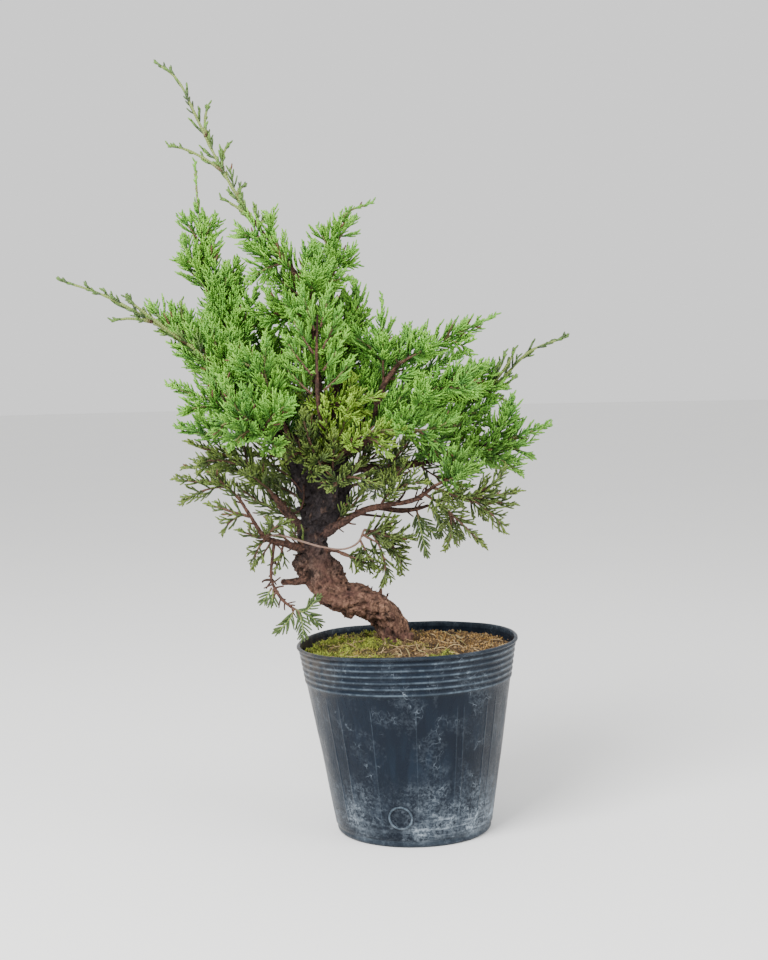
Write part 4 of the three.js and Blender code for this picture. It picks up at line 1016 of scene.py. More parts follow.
def barkMaterial():
    # red and flaky low on the trunk, almost black higher up, and pinkish grey on the twigs, with near-black painted
    # shade in the cracks, valleys and pits
    material, inputs, place = newMaterial("juniperBark", 0.86, 0.25)
    broad, fine = useGroup(mottle, place, Scale=110.0)
    hollow, girth, paleTwig = attributesOf(place, "hollow", "girth", "pale")
    pale = fine * broad
    low = pale.blend(bark["red"], bark["flake"])
    high = pale.blend(bark["dark"], bark["darkFlake"])
    rise = (axesOf(place)[2] + broad * 0.02).spread(0.175, 0.212)
    twig = paleTwig.blend(fine.blend(bark["twigDark"], bark["twig"]), bark["paleTwig"])
    colour = girth.spread(5.0, 2.0).blend(rise.blend(low, high), twig)
    flakes = patchesAt(stretched(place, (1, 1, 0.6)), 210.0, 0.39, 0.05)
    colour = (flakes * rise.spread(0.0, 1.0, 0.45, 0.2)).blend(colour, bark["flake"])
    # the cracks are sunk in by the bump and painted near black: painted shade in them
    cracks = useGroup(scratches, stretched(place, (1, 1, 0.5)), Scale=140.0, Width=0.09) * broad
    colour = (cracks * girth.spread(2.0, 6.0, 0.0, 0.8)).blend(colour, bark["pit"])
    # near black in the bark's valleys and pits: painted shade
    feed(inputs["Base Color"], (hollow * 0.85).blend(colour, bark["pit"]))
    grain = useGroup(relief, place, Scale=700.0, Fine=0.5)
    addBump(inputs, grain + flakes * 0.6 - cracks * 0.7, 0.0008)
    return material


addPiece("wood_bark", woodMesh(), barkMaterial(), ["wood"])
print("wood:", len(bpy.data.meshes["wood_bark"].polygons), "faces")


# The foliage: a piece for each spray

foliage = {
    "from": 3.5, "fromArm": 3.0, "length": (0.76, 1.05), "forward": 0.4, "lift": 0.25,
    "cord": (0.78, 0.68), "side": (0.76, 0.64), "small": (0.70, 0.58), "needle": (0.72, 0.60), "forkLength": 8.5,
    "sideSpacing": 2.15, "sideLean": 31, "smallLean": 36, "leastSide": 3.0, "leastSmall": 2.6, "sideEnd": 0.93,
    "roll": 0.2, "faceTurn": 0.75, "stem": (1.1, 0.7), "arm": (0.9, 0.6), "scale": 1.6, "dead": 0.012,
    "deadCord": (0.17, 0.085, 0.035), "stemBark": (0.095, 0.048, 0.030), "stemGreen": (0.17, 0.23, 0.055),
    "oldAndShaded": (0.078, 0.098, 0.026), "boxStretch": 1.5,
}
growth = {
    "armFrom": 5, "armEnd": 7, "armLean": 48, "armTurn": 2.4, "armShrink": 0.5, "armBow": 0.22, "neverBare": 1.4,
}
habits = {
    "full": {"slot": "foliage_mid", "reach": 21, "taper": 0.45, "lean": 48, "rise": 0.15,
             "armSpacing": 17, "armLength": 30, "spacing": 2.35, "sides": 10, "stemGreen": 0.5,
             "dark": (0.018, 0.076, 0.018), "mid": (0.084, 0.285, 0.030), "light": (0.27, 0.57, 0.056)},
    # inner: a darker copy of the foliage, near black at each plume's foot, for sprays inside and under the canopy:
    # painted shade
    "inner": {"slot": "foliage_deep", "reach": 18, "taper": 0.4, "lean": 43, "rise": 0.1,
              "armSpacing": 17, "armLength": 27, "spacing": 2.7, "sides": 6, "stemGreen": 0.2,
              "cord": (0.74, 0.62), "sideSpacing": 2.7, "tipFrom": 0.3,
              "dark": (0.016, 0.024, 0.010), "mid": (0.064, 0.130, 0.024), "light": (0.28, 0.39, 0.055)},
    "bright": {"slot": "foliage_bright", "reach": 16, "taper": 0.4, "lean": 44, "rise": 0.15,
               "armSpacing": 18, "armLength": 24, "spacing": 2.5, "sides": 8, "stemGreen": 0.4,
               "dark": (0.045, 0.12, 0.012), "mid": (0.17, 0.35, 0.030), "light": (0.38, 0.55, 0.06)},
    "long": {"slot": "foliage_olive", "reach": 17, "taper": 0.42, "lean": 31, "rise": 0.1,
             "armSpacing": 0, "spacing": 6.4, "sides": 5, "stemGreen": 2.2,
             "crowd": 1.1, "stem": (1.4, 0.8), "cord": (0.84, 0.74), "sideSpacing": 2.9, "fade": 1.5, "armSize": 0.45,
             "dark": (0.030, 0.040, 0.026), "mid": (0.062, 0.100, 0.034), "light": (0.17, 0.34, 0.042)},
    "hanging": {"slot": "foliage_hanging", "reach": 10, "taper": 0.4, "lean": 46, "rise": 0.0,
                "armSpacing": 0, "spacing": 1.15, "sides": 0, "stemGreen": 1.6, "stem": (0.75, 0.5),
                "dark": (0.014, 0.040, 0.012), "mid": (0.042, 0.095, 0.022), "light": (0.11, 0.20, 0.045)},
}
# the stem of each spray, and the arms of it that reach a point: from which part of the stem, and where to
sprays = {
    "leader_shoot": {"habit": "long", "stem": [(-94, -4, 405), (-108, -2, 426), (-126, 0, 460), (-134, 0, 478),
        (-148, 0, 507), (-159, 0, 516)], "arms": [(0.06, (-116, -8, 425)), (0.03, (-91, -4, 412)),
        (0.36, (-149, -8, 461)), (0.38, (-117, 5, 461)), (0.56, (-129, 4, 486)), (0.22, (-107, 3, 435))]},
    "leader_left": {"stem": [(-75, -4, 381), (-100, -12, 393)], "arms": [(0.2, (-98, -16, 374))]},
    "leader_right": {"stem": [(-64, -4, 352), (-56, -12, 388)], "arms": [(0.3, (-40, -14, 372))]},
    "leader_mid": {"stem": [(-61, -4, 342), (-90, -20, 364)], "arms": [(0.3, (-90, -8, 344))]},
    "leader_back": {"stem": [(-60, -2, 322), (-66, 24, 362)]},
    "front_stem_left": {"size": 0.75, "stem": [(-59, -2, 305), (-72, -26, 336)]},
    "front_stem_right": {"size": 0.75, "stem": [(-59, -3, 315), (-44, -22, 344)]},
    "bright_right": {"habit": "bright", "stem": [(-58, 1, 288), (-41, -22, 291), (-18, -30, 294)],
        "arms": [(0.33, (-34, -34, 280)), (0.45, (-36, -26, 305))]},
    "centre_left": {"stem": [(-94, 7, 272), (-84, -12, 303), (-78, -18, 322)]},
    "centre_back": {"stem": [(-86, 6, 263), (-84, 26, 296), (-84, 32, 318)]},
    "centre_low": {"habit": "inner", "stem": [(-66, 2, 249), (-72, -22, 258), (-80, -42, 254)]},
    "crown_tip": {"bare": 0.87, "grow": 0.6, "stem": [(-46, 20, 319), (-47, 20, 349), (-49, 18, 380), (-46, 16, 403),
        (-37, 15, 418), (-24, 15, 423)], "arms": [(0.5, (-61, 6, 388)), (0.55, (-39, 24, 384))]},
    "crown_front": {"stem": [(-47, 16, 303), (-50, -8, 340), (-51, -12, 362)]},
    "crown_right": {"stem": [(-46, 19, 315), (-26, 12, 348)]},
    "column_tip": {"bare": 0.83, "stem": [(-106, 13, 292), (-115, 18, 319), (-123, 22, 342), (-128, 24, 360),
        (-136, 25, 384), (-137, 25, 406), (-139, 25, 426), (-140, 25, 451)], "arms": [(0.32, (-119, 14, 379)),
        (0.2, (-94, 2, 346))]},
    "left_shoot": {"habit": "long", "stem": [(-120, -8, 303), (-136, -16, 325), (-158, -20, 341), (-180, -22, 355),
        (-199, -24, 365), (-224, -24, 374)], "arms": [(0.25, (-148, -10, 356)), (0.3, (-178, -32, 359)),
        (0.35, (-180, -16, 359)), (0.5, (-187, -26, 348))]},
    "left_up": {"stem": [(-112, -4, 293), (-124, -14, 325), (-130, -16, 350)]},
    "left_mid": {"stem": [(-103, -16, 278), (-120, -34, 291), (-150, -42, 303)], "arms": [(0.4, (-141, -54, 288))]},
    "left_mid_low": {"stem": [(-97, -8, 272), (-118, -20, 270), (-148, -26, 276)]},
    "front_left_tip": {"stem": [(-88, -20, 266), (-98, -44, 277), (-107, -59, 287), (-116, -73, 306)],
        "arms": [(0.35, (-111, -70, 266)), (0.25, (-76, -60, 291))]},
    "fork_up": {"stem": [(-81, -20, 277), (-86, -32, 293), (-91, -40, 307), (-90, -50, 332)],
        "arms": [(0.3, (-110, -46, 325))]},
    "low_left_tip": {"habit": "inner", "stem": [(-91, -5, 230), (-112, -10, 252), (-143, -14, 265)],
        "arms": [(0.25, (-149, 8, 248)), (0.4, (-134, -30, 254))]},
    "bottom_left_tip": {"habit": "inner", "slot": "foliage_mid", "size": 0.85, "stem": [(-112, -14, 227),
        (-123, -12, 237), (-152, -12, 241)], "arms": [(0.3, (-149, -8, 227))]},
    "bottom_left_mid": {"habit": "inner", "slot": "foliage_mid", "size": 0.8, "stem": [(-106, -16, 216),
        (-129, -22, 224)], "arms": [(0.2, (-122, -16, 209))]},
    "bottom_left_tuft": {"habit": "inner", "slot": "foliage_mid", "size": 0.75, "stem": [(-92, -15, 200),
        (-109, -30, 207)], "arms": [(0.2, (-82, -34, 213)), (0.2, (-103, -24, 187))]},
    "hanging": {"habit": "hanging", "stem": [(-79, -25, 156), (-71, -27, 153), (-61, -30, 163)],
        "arms": [(0.2, (-72, -29, 136)), (0.08, (-89, -31, 141)), (0.35, (-61, -24, 144))]},
    "lower_right_tuft": {"habit": "inner", "stem": [(-30, -20, 206), (0, -24, 200)], "arms": [(0.4, (-6, -26, 182)),
        (0.15, (-17, -28, 174))]},
    "trunk_tuft": {"habit": "inner", "size": 0.8, "stem": [(-44, -15, 190), (-26, -20, 182)],
        "arms": [(0.2, (-36, -22, 182))]},
    "right_low_tip": {"stem": [(17, -30, 235), (44, -40, 248)], "arms": [(0.2, (30, -44, 256))]},
    "right_low_out": {"habit": "inner", "slot": "foliage_mid", "size": 0.85, "stem": [(15, -29, 234), (40, -32, 227),
        (69, -34, 230)], "arms": [(0.45, (60, -38, 208)), (0.45, (62, -28, 243)), (0.4, (66, -30, 222))]},
    "right_low_tuft": {"habit": "inner", "stem": [(-19, -18, 221), (-3, -30, 249)], "arms": [(0.3, (9, -38, 238))]},
    "right_low_under": {"habit": "inner", "size": 0.85, "stem": [(10, -27, 230), (23, -34, 221), (46, -36, 198)],
        "arms": [(0.43, (25, -38, 198))]},
    "hang_inner": {"habit": "hanging", "stem": [(5, -16, 219), (11, -20, 189)], "arms": [(0.1, (18, -14, 201))]},
    "hang_outer": {"habit": "hanging", "stem": [(13, -16, 221), (35, -14, 199)], "arms": [(0.3, (21, -6, 199))]},
    "right_tip": {"stem": [(20, 4, 250), (39, 0, 255), (66, -5, 263), (91, -8, 271)], "arms": [(0.45, (71, -4, 288)),
        (0.3, (72, -16, 243)), (0.5, (79, -5, 254))]},
    "right_mid_front": {"habit": "inner", "stem": [(-14, 8, 246), (-5, -8, 256), (3, -14, 266)]},
    "right_up": {"stem": [(8, 6, 247), (22, -8, 266), (32, -14, 282)]},
    "far_right_shoot": {"habit": "long", "stem": [(23, 22, 280), (44, 20, 288), (65, 18, 303), (85, 16, 322),
        (109, 15, 331)], "arms": [(0.35, (73, 12, 320)), (0.3, (68, 26, 318)), (0.3, (69, 12, 288))]},
    "far_right_in": {"stem": [(2, 20, 272), (24, 8, 296), (36, 4, 308)]},
    "front_right_tip": {"stem": [(3, -26, 285), (16, -34, 297), (48, -46, 313)], "arms": [(0.4, (41, -58, 296))]},
    "front_right_low": {"stem": [(-10, -19, 275), (12, -38, 272), (28, -48, 278)]},
    "upper_right_shoot": {"bare": 0.85, "grow": 0.3, "stem": [(-5, -12, 315), (10, -14, 323), (30, -14, 333),
        (56, -14, 344)], "arms": [(0.1, (2, -4, 336)), (0.5, (38, -26, 325))]},
    "upper_right_in": {"bare": 0.8, "grow": 0.3, "stem": [(-15, -10, 302), (-15, -4, 331), (-15, -2, 356)],
        "arms": [(0.26, (-34, -18, 333))]},
    "bright_front_tip": {"habit": "bright", "stem": [(-41, -18, 259), (-26, -34, 271), (-5, -46, 273)],
        "arms": [(0.4, (-13, -46, 258))]},
    "trunk_front_tip": {"habit": "inner", "stem": [(-47, -14, 238), (-38, -28, 242), (-22, -38, 238)]},
    "trunk_front_left_tip": {"habit": "inner", "stem": [(-57, -11, 250), (-63, -26, 262), (-68, -36, 282)]},
    "back_left_tip": {"stem": [(-90, 46, 274), (-115, 70, 291), (-134, 84, 307)]},
    "back_right_tip": {"stem": [(-22, 46, 274), (4, 68, 288), (22, 82, 300)]},
    "back_right_up": {"stem": [(-30, 38, 269), (-14, 48, 300), (-4, 52, 326)]},
    "back_left_up": {"stem": [(-80, 37, 268), (-106, 48, 304), (-112, 54, 336)]},
    "back_up_tip": {"stem": [(-58, 28, 292), (-62, 46, 325), (-68, 54, 358)]},
    "back_up_out": {"stem": [(-56, 20, 283), (-42, 50, 305), (-34, 64, 328)]},
    "back_low_left_tip": {"habit": "inner", "stem": [(-76, 30, 225), (-96, 56, 235), (-118, 80, 245)]},
    "back_low_right_tip": {"habit": "inner", "stem": [(-38, 30, 232), (-17, 56, 235), (5, 78, 243)]},
    "back_centre_tip": {"stem": [(-50, 34, 258), (-49, 66, 275), (-46, 95.5, 296)]},
    "back_centre_low": {"habit": "inner", "stem": [(-50, 26, 255), (-64, 56, 262), (-78, 80, 270)]},
}
# short twigs that fill the gaps between the sprays: where each leaves its limb and where it ends
fillers = {
    "leader_mid": [((-63, -4, 350), (-101, -12, 352)), ((-61, -4, 342), (-80, 8, 374))],
    "crown_front": [((-47, 10, 310), (-34, 4, 352))],
    "leader_left": [((-88, -4, 397), (-89, -6, 411)), ((-80, -4, 388), (-98, -6, 400)),
        ((-66, -4, 360), (-90, 2, 380)), ((-72, -4, 374), (-84, -14, 398)), ((-91, -4, 401), (-106, -8, 403))],
    "leader_right": [((-71, -4, 373), (-62, -8, 392)), ((-68, -4, 366), (-50, -6, 380)),
        ((-61, -4, 338), (-78, 2, 352))],
    "column_tip": [((-127, 23, 352), (-128, 18, 391)), ((-120, 21, 332), (-112, 10, 356)),
        ((-133, 24, 368), (-148, 20, 386)), ((-137, 25, 378), (-128, 20, 401)), ((-138, 25, 378), (-148, 20, 400)),
        ((-139, 25, 398), (-129, 20, 414)), ((-139, 25, 402), (-147, 22, 415)), ((-122, 22, 340), (-131, 16, 362)),
        ((-116, 19, 322), (-111, 12, 377)), ((-119, 20, 328), (-100, 2, 364)), ((-128, 24, 360), (-113, 8, 384))],
    "back_left_up": [((-90, 42, 284), (-88, 30, 320)), ((-96, 44, 292), (-122, 34, 318)),
        ((-92, 42, 288), (-98, 24, 345))],
    "far_right_shoot": [((44, 20, 288), (62, 12, 312)), ((36, 21, 284), (50, 14, 312)),
        ((52, 19, 293), (72, 12, 303))],
    "crown_right": [((-46, 16, 305), (-28, 4, 326)), ((-32, 14, 338), (-33, 8, 367))],
    "back_up_tip": [((-59, 30, 300), (-84, 26, 330)), ((-60, 34, 310), (-46, 26, 336))],
    "back_right_up": [((-28, 39, 272), (-2, 34, 296)), ((-26, 40, 276), (-34, 26, 300)),
        ((-22, 44, 286), (-20, 34, 311))],
    "back_centre_tip": [((-50, 40, 262), (-72, 36, 284)), ((-50, 42, 264), (-30, 34, 282))],
    "left_up": [((-105, 0, 284), (-144, -5, 319)), ((-116, -6, 300), (-151, -4, 345)),
        ((-122, -10, 312), (-150, -14, 328)), ((-128, -12, 316), (-144, -12, 350)),
        ((-136, -16, 325), (-158, -16, 345)), ((-136, -14, 324), (-152, -13, 353)),
        ((-120, -8, 304), (-134, -8, 342)), ((-148, -17, 335), (-166, -14, 355)), ((-110, -4, 292), (-116, 2, 340))],
    "front_right_tip": [((-38, -4, 259), (-27, -8, 320)), ((-30, -8, 264), (-2, -14, 296))],
    "upper_right_in": [((-18, -8, 290), (12, 2, 309)), ((-24, -6, 281), (8, 4, 290)),
        ((-20, -7, 285), (-26, -4, 316))],
    "upper_right_shoot": [((-12, -10, 305), (36, 4, 320)), ((-10, -11, 308), (-2, -2, 329))],
    "right_mid_front": [((-34, 8, 245), (-14, -8, 262)), ((-40, 6, 243), (-24, -10, 262)),
        ((8, 6, 247), (22, -6, 238)), ((-2, 8, 246), (16, 12, 256))],
    "low_left_tip": [((-78, -2, 213), (-114, 10, 233)), ((-62, 1, 212), (-94, 16, 230)),
        ((-75, 2, 255), (-106, 6, 257)), ((-70, 2, 236), (-94, 4, 251)), ((-91, -5, 230), (-99, 8, 243))],
    "trunk_front_left_tip": [((-51, 2, 246), (-66, -32, 283)), ((-60, -16, 276), (-67, -18, 303))],
    "trunk_front_tip": [((-51, 2, 240), (-48, -34, 270)), ((-48, -4, 211), (-32, -16, 229))],
    "bright_front_tip": [((-51, 1, 249), (-54, -36, 292)), ((-51, 0, 252), (-37, -36, 292))],
    "centre_left": [((-90, 0, 290), (-90, 16, 334))],
    "centre_back": [((-84, 14, 280), (-70, 18, 298)), ((-86, 8, 268), (-74, 14, 280)),
        ((-84, 26, 296), (-112, 28, 324)), ((-84, 30, 308), (-93, 20, 340))],
    "front_stem_left": [((-62, -34, 297), (-80, -36, 317)), ((-61, -36, 309), (-77, -40, 331)),
        ((-60, -36, 323), (-73, -40, 346)), ((-59, -35, 338), (-66, -37, 361))],
    "front_stem_right": [((-54, -33, 299), (-37, -36, 316)), ((-54, -35, 312), (-40, -38, 333)),
        ((-54, -36, 326), (-43, -38, 349)), ((-55, -35, 340), (-49, -37, 362))],
    "far_right_in": [((12, 21, 275), (58, 12, 288)), ((14, 14, 286), (52, 10, 310)), ((8, 18, 276), (52, 5, 283)),
        ((30, 6, 300), (58, 13, 310)), ((34, 10, 296), (64, 12, 298)), ((23, 22, 280), (54, 4, 273))],
    "crown_tip": [((-47, 17, 390), (-55, 15, 404)), ((-46, 16, 398), (-36, 14, 410))],
    "right_tip": [((20, 4, 250), (74, -4, 259))],
    "hanging": [((-92, -22, 169), (-98, -23, 160)), ((-91, -22, 168), (-92, -24, 159))],
    "bottom_left_tuft": [((-80, -12, 198), (-92, -18, 211)), ((-84, -14, 197), (-88, -20, 184)),
        ((-92, -15, 199), (-100, -20, 188)), ((-70, -6, 194), (-78, -14, 206))],
    "lower_right_tuft": [((-32, -21, 202), (-12, -24, 212)), ((-33, -21, 200), (-24, -26, 184)),
        ((-31, -21, 203), (-8, -26, 193))],
    "trunk_tuft": [((-46, -15, 190), (-32, -22, 187))],
}

def chosen(cords, which):
    return {key: values[which] for key, values in cords.items()}


def evenPlaces(cords, most, spacing):
    # side cords stand at a steady spacing, so that a short cord has fewer of them; those past the end are at 1
    step = spacing / cords["length"][:, None]
    places = (np.arange(most) + 0.75 + draw.normal(0, 0.1, (len(step), most))) * step
    return np.where(places < foliage["sideEnd"], places, 1.0)


def sideCords(cords, t, share, least, lean, lift):
    # shorter cords that leave each cord at its parts t, on alternate sides of its flat face
    count, each = t.shape
    along = unit(cords["first"][:, None] * (1 - t)[..., None] + cords["last"][:, None] * t[..., None])
    face = cords["face"][:, None]
    face = unit(face - dot(face, along) * along)
    hand = np.where((np.arange(each) + draw.integers(0, 2, (count, 1))) % 2, 1.0, -1.0)[..., None]
    roll = draw.normal(0, foliage["roll"], (count, each, 1))
    side = np.cross(along, face) * hand * np.cos(roll) + face * np.sin(roll)
    lean = np.radians(lean + draw.normal(0, 4.5, (count, each, 1)))
    first = along * np.cos(lean) + side * np.sin(lean)
    last = unit(first + foliage["forward"] * along + lift * upward)
    length = cords["length"][:, None] * share(t) * draw.uniform(0.85, 1.14, (count, each))
    tone = cords["tone"][:, None] + draw.normal(0, 0.14, (count, each))
    start = cordLine(cords, t)
    sides = {name: values.reshape(-1, 3) for name, values in
             (("start", start), ("first", first), ("last", last), ("face", face))}
    sides["length"] = np.maximum(length, least).ravel()
    sides["tone"] = np.clip(tone, 0, 1).ravel()
    sides["from"] = (0.4 * cords["from"][:, None] + 0.5 * t).ravel()
    return chosen(sides, (t < 1).ravel())


def cordShape(cords, rings, corners, thickness):
    # cords with a waist at the foot, small beads along them and a rounded tip
    t = np.linspace(0, 1, rings)
    foot, end = thickness
    bead = 1 + draw.normal(0, 0.035, (len(cords["start"]), rings))
    radii = np.interp(t, [0, 0.12, 0.8, 1], [foot * 0.75, foot, end, end * 0.8]) * bead
    shape = tubes(cordLine(cords, t), radii, cords["face"][:, None], corners, 1.2)
    start, length = (np.repeat(cords[name], shape["each"]) for name in ("from", "length"))
    shape["tip"] = start + (1 - start) * shape["reach"]
    shape["span"] = length * shape["reach"]
    dead = draw.uniform(0, 1, len(cords["start"])) < foliage["dead"]
    return perTube(shape, tone=cords["tone"], wood=np.where(dead, 0.5, 0.0))


def plumesOn(line, habit, start, bare, size):
    # the places along a stem that carry plumes, at the golden angle round it, and the first cord of each;
    # past the bare part the plumes are small
    length = pathLength(line)
    count = max(2, round((length - start) / habit["spacing"]))
    even = np.clip((np.arange(count) + draw.uniform(-0.3, 0.3, count)) / count, 0, 1) ** habit.get("crowd", 1.0)
    place = start / length + even * (1 - start / length)
    centre, along = walk(line, place)
    turn = np.arange(count) * goldenAngle + draw.uniform(0, 2 * math.pi) + draw.normal(0, 0.2, count)
    if not habit["sides"]:
        # a flat comb: needles on two sides of the stem
        turn = np.arange(count) * math.pi + math.pi / 2 + draw.normal(0, 0.25, count)
    outward = turned(carriedSides(along), along, turn)
    lean = np.radians(habit["lean"] * (1 - 0.55 * place ** 3) + draw.normal(0, 6, count))[:, None]
    first = unit(outward * np.sin(lean) + along * np.cos(lean) + habit["rise"] * upward)
    lift = foliage["lift"] + habit["rise"] if habit["rise"] else 0.0
    last = unit(first + foliage["forward"] * along + lift * upward)
    reach = size * habit["reach"] * (1 - habit["taper"] * place) * draw.uniform(*foliage["length"], count)
    reach = reach * np.interp(place, [0.7, 1], [1, 0.65])
    reach = reach * np.interp(place, [bare - 0.15, bare, bare + 0.04], [1, 0.6, 0.16])
    face = unit(np.cross(first, np.cross(along, outward) + 0.01))
    roll = draw.uniform(-foliage["faceTurn"], foliage["faceTurn"], (count, 1))
    face = face * np.cos(roll) + np.cross(first, face) * np.sin(roll)
    # higher plumes are lighter, a painted light from above, and those near the end of a long shoot darker
    tone = 0.75 * draw.uniform(0, 1, count) + 0.42 * (centre[:, 2] - 210) / 140 - habit.get("fade", 0.2) * place ** 2
    return {"start": centre, "first": first, "last": last, "face": face, "length": reach,
            "tone": np.clip(tone, 0, 1), "from": np.zeros(count)}


def stemLines(name, spray, habit):
    # the stem of a spray, its fillers, the arms that reach a point, and the arms that it grows by rule
    main = densePath(spray["stem"])
    length = pathLength(main)
    arms = [(part, np.array(tip, float)) for part, tip in spray.get("arms", ())]
    count = int((length - growth["armFrom"] - growth["armEnd"]) // habit["armSpacing"]) if habit["armSpacing"] else 0
    if count > 0:
        parts = (growth["armFrom"] + np.arange(count) * habit["armSpacing"]) / length
        parts = parts[parts < spray.get("grow", spray.get("bare", growth["neverBare"]) - 0.2)]
        centres, along = walk(main, parts)
        outward = turned(carriedSides(along), along, np.arange(len(parts)) * growth["armTurn"])
        lean = math.radians(growth["armLean"])
        reach = habit["armLength"] * (1 - growth["armShrink"] * parts)[:, None]
        tips = centres + reach * (outward * math.sin(lean) + along * math.cos(lean))
        arms += list(zip(parts, tips))
    lines = [main]
    for start, tip in fillers.get(name, ()):
        start, tip = np.array(start, float), np.array(tip, float)
        sag = 0.08 * upward * np.linalg.norm(tip - start)
        lines.append(bowPath(start, (start + tip) / 2 - sag, tip))
    for part, tip in arms:
        (start,), (along,) = walk(main, [part])
        control = (start + tip) / 2 + along * growth["armBow"] * np.linalg.norm(tip - start)
        lines.append(bowPath(start, control, tip))
    return lines


def stemShape(line, thickness, green):
    count = max(5, round(pathLength(line) / 3.5))
    centres, along = walk(line, np.linspace(0, 0.985, count))
    knots = 1 + 0.12 * np.sin(np.arange(count) * 2.1) + draw.normal(0, 0.04, count)
    radii = np.linspace(*thickness, count) * knots
    shape = tubes(centres[None], radii[None], carriedSides(along)[None], 6, 1.5)
    shape["tip"] = shape["reach"] * green
    shape["span"] = shape["reach"] * pathLength(line)
    return perTube(shape, tone=draw.uniform(), wood=1.0)


def terminal(line, habit):
    # the cords that carry a stem on past its end
    centre, along = walk(line, [0.93, 0.965, 0.99])
    side = carriedSides(along)
    first = unit(along + 0.5 * side * np.array([[1.0], [-1.0], [0.0]]))
    last = unit(along + (0.15 + habit["rise"]) * upward)
    reach = np.array([0.42, 0.42, 0.5]) * habit["reach"] * (1 - habit["taper"] * 0.8)
    return {"start": centre, "first": first, "last": last, "face": side, "length": reach,
            "tone": draw.uniform(0.3, 1, 3), "from": np.full(3, 0.35)}


def sprayShape(name, spray, habit):
    shapes, cords = [], []
    for number, line in enumerate(stemLines(name, spray, habit)):
        thickness = habit.get("stem", foliage["arm" if number else "stem"])
        shapes.append(stemShape(line, thickness, habit["stemGreen"]))
        bare = growth["neverBare"] if number else spray.get("bare", growth["neverBare"])
        size = spray.get("size", 1.0) * (habit.get("armSize", 1.0) if number else 1.0)
        cords.append(plumesOn(line, habit, foliage["fromArm" if number else "from"], bare, size))
        cords.append(terminal(line, habit))
    main = {key: np.concatenate([some[key] for some in cords]) for key in cords[0]}
    lift = foliage["lift"] if habit["rise"] else 0.0
    if not habit["sides"]:
        return joined(shapes + [cordShape(main, 4, 4, foliage["needle"])])
    places = evenPlaces(main, habit["sides"], habit.get("sideSpacing", foliage["sideSpacing"]))
    sides = sideCords(main, places, lambda t: 0.60 - 0.30 * t, foliage["leastSide"], foliage["sideLean"], lift)
    low = chosen(sides, sides["length"] > foliage["forkLength"])
    forks = draw.uniform(0.34, 0.5, (len(low["start"]), 1))
    small = sideCords(low, forks, lambda t: 0.5, foliage["leastSmall"], foliage["smallLean"], lift)
    shapes.append(cordShape(main, 5, 4, habit.get("cord", foliage["cord"])))
    shapes.append(cordShape(sides, 3, 3, habit.get("cord", foliage["side"])))
    if len(small["start"]):
        shapes.append(cordShape(small, 2, 3, foliage["small"]))
    return joined(shapes)


def foliageMaterial(name, habit):
    # darker at the foot of each plume and lighter to its tips, partly older and younger growth and partly painted
    # shade at the foot inside the canopy, with the joints of the scale leaves across each cord
    material, inputs, place = newMaterial(name, 0.55, 0.35)
    broad, fine = useGroup(mottle, place, Scale=42.0)
    own, tip, span, wood = attributesOf(place, "tone", "tip", "span", "wood")
    mixed = own * 0.55 + broad * 0.45
    deep = mixed.blend(habit["dark"], habit["mid"])
    youngAndLit = mixed.blend(habit["mid"], habit["light"])
    # the dark foot of each plume is partly painted shade
    colour = tip.spread(habit.get("tipFrom", 0.15), 0.95).blend(deep, youngAndLit)
    # lower on the tree the foliage is blended toward an olive grey: partly older foliage, partly painted shade under
    # the canopy
    low = axesOf(place)[2].spread(0.290, 0.20, 0.0, 0.6)
    colour = (low * tip.spread(0.0, 0.6)).blend(colour, foliage["oldAndShaded"])
    wave = calc(place.tree, "SINE", span * (2 * math.pi / foliage["scale"]))
    colour = wave.spread(-0.4, -1.0, 0.0, 0.28).blend(colour, habit["dark"])
    dead = fine.blend(foliage["stemBark"], foliage["deadCord"])
    colour = wood.spread(0.0, 0.5).blend(colour, dead)
    stem = tip.spread(0.15, 0.6).blend(foliage["stemBark"], foliage["stemGreen"])
    feed(inputs["Base Color"], wood.spread(0.5, 1.0).blend(colour, stem))
    feed(inputs["Roughness"], fine.spread(0.0, 1.0, 0.42, 0.66))
    addBump(inputs, wave * 0.6 + useGroup(relief, place, Scale=1500.0, Fine=0.5), 0.00022)
    return material


def insideBox(points):
    # the furthest tips are kept inside the box of the solids: what is past the last stretch before a side is pressed
    # into that stretch, by stretch * (1 - exp(-past / stretch)), so that nothing becomes flat
    low, high = (np.array(corner) / millimetre for corner in cadBox)
    stretch = foliage["boxStretch"]
    for hand, limit in ((1, high - 0.05), (-1, low + 0.05)):
        past = np.maximum(hand * (points - limit) + stretch, 0)
        points = points - hand * (past - stretch * (1 - np.exp(-past / stretch)))
    return points


greens = {name: foliageMaterial(name + "Foliage", habit) for name, habit in habits.items()}
faceCount = 0
for name, spray in sprays.items():
    kind = spray.get("habit", "full")
    shape = sprayShape(name, spray, habits[kind])
    shape["points"] = insideBox(shape["points"])
    mesh = meshOf("foliage_" + name, shape, ("tone", "tip", "span", "wood"))
    addPiece("foliage_" + name, mesh, greens[kind], ["spray_" + name])
    faceCount += 2 * len(shape["quads"]) + len(shape["triangles"])
print("foliage:", len(sprays), "sprays,", faceCount, "triangles")


# Floor, light and camera

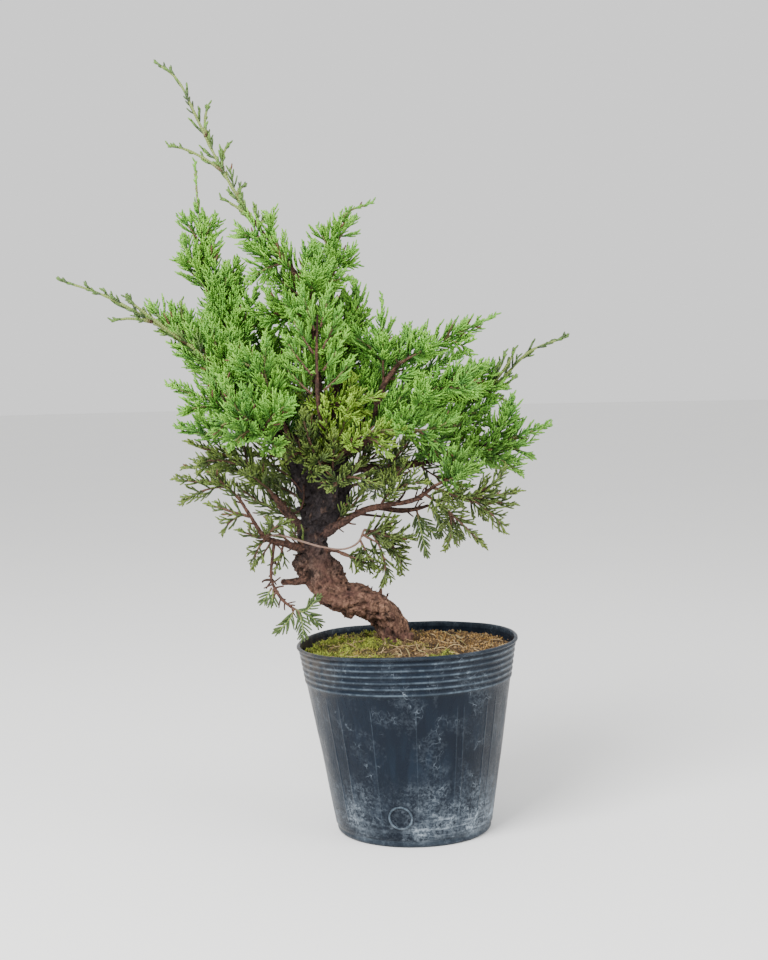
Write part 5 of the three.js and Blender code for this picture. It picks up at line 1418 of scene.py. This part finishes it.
studio = {
    "floorRadius": 12.0, "floorSides": 96, "floor": (0.88, 0.88, 0.87), "floorShade": (0.7, 0.7, 0.7), "world": 1.15,
    "key": {"place": (-0.75, -1.1, 1.35), "power": 62.0, "size": 0.9},
    "fill": {"place": (1.2, -0.7, 0.7), "power": 14.0, "size": 1.2}, "aim": (-0.03, 0, 0.25),
    "cameraPlace": (-0.01606, -1.076, 0.3127), "cameraDown": 4, "cameraRoll": 1.2, "lens": 60, "sensor": 36,
}


def addFloor():
    sides = studio["floorSides"]
    ring = onCircle(studio["floorRadius"], evenAngles(sides)).tolist()
    mesh = bpy.data.meshes.new("floor")
    mesh.from_pydata([(0, 0, 0), *ring], [], [(0, i + 1, (i + 1) % sides + 1) for i in range(sides)])
    material, inputs, place = newMaterial("paleFloor", 0.75, 0.2)
    broad = useGroup(mottle, place, Scale=3.0)[0]
    feed(inputs["Base Color"], (broad * 0.05).blend(studio["floor"], studio["floorShade"]))
    mesh.materials.append(material)
    linked("floor", mesh)


def addLight(name):
    light = bpy.data.lights.new(name, "AREA")
    light.energy, light.size = studio[name]["power"], studio[name]["size"]
    lamp = linked(name, light)
    lamp.location = studio[name]["place"]
    lamp.rotation_euler = (Vector(studio["aim"]) - lamp.location).to_track_quat("-Z", "Y").to_euler()


def addCamera():
    # a long lens a little above the rim, looking a few degrees down and turned a little
    down, roll = math.radians(studio["cameraDown"]), math.radians(studio["cameraRoll"])
    ahead, level = Vector((0, math.cos(down), -math.sin(down))), Vector((0, math.sin(down), math.cos(down)))
    right = math.cos(roll) * Vector((1, 0, 0)) - math.sin(roll) * level
    up = math.sin(roll) * Vector((1, 0, 0)) + math.cos(roll) * level
    camera = linked("camera", bpy.data.cameras.new("camera"))
    camera.data.lens = studio["lens"]
    camera.data.sensor_fit = "VERTICAL"
    camera.data.sensor_height = studio["sensor"]
    rows = [[right[i], up[i], -ahead[i], studio["cameraPlace"][i]] for i in range(3)]
    camera.matrix_world = Matrix(rows + [[0, 0, 0, 1]])
    bpy.context.scene.camera = camera


addFloor()
addLight("key")
addLight("fill")
addCamera()
world = bpy.data.worlds.new("studio")
world.use_nodes = True
sky = world.node_tree.nodes["Background"]
sky.inputs["Color"].default_value = (1, 1, 1, 1)
sky.inputs["Strength"].default_value = studio["world"]
bpy.context.scene.world = world
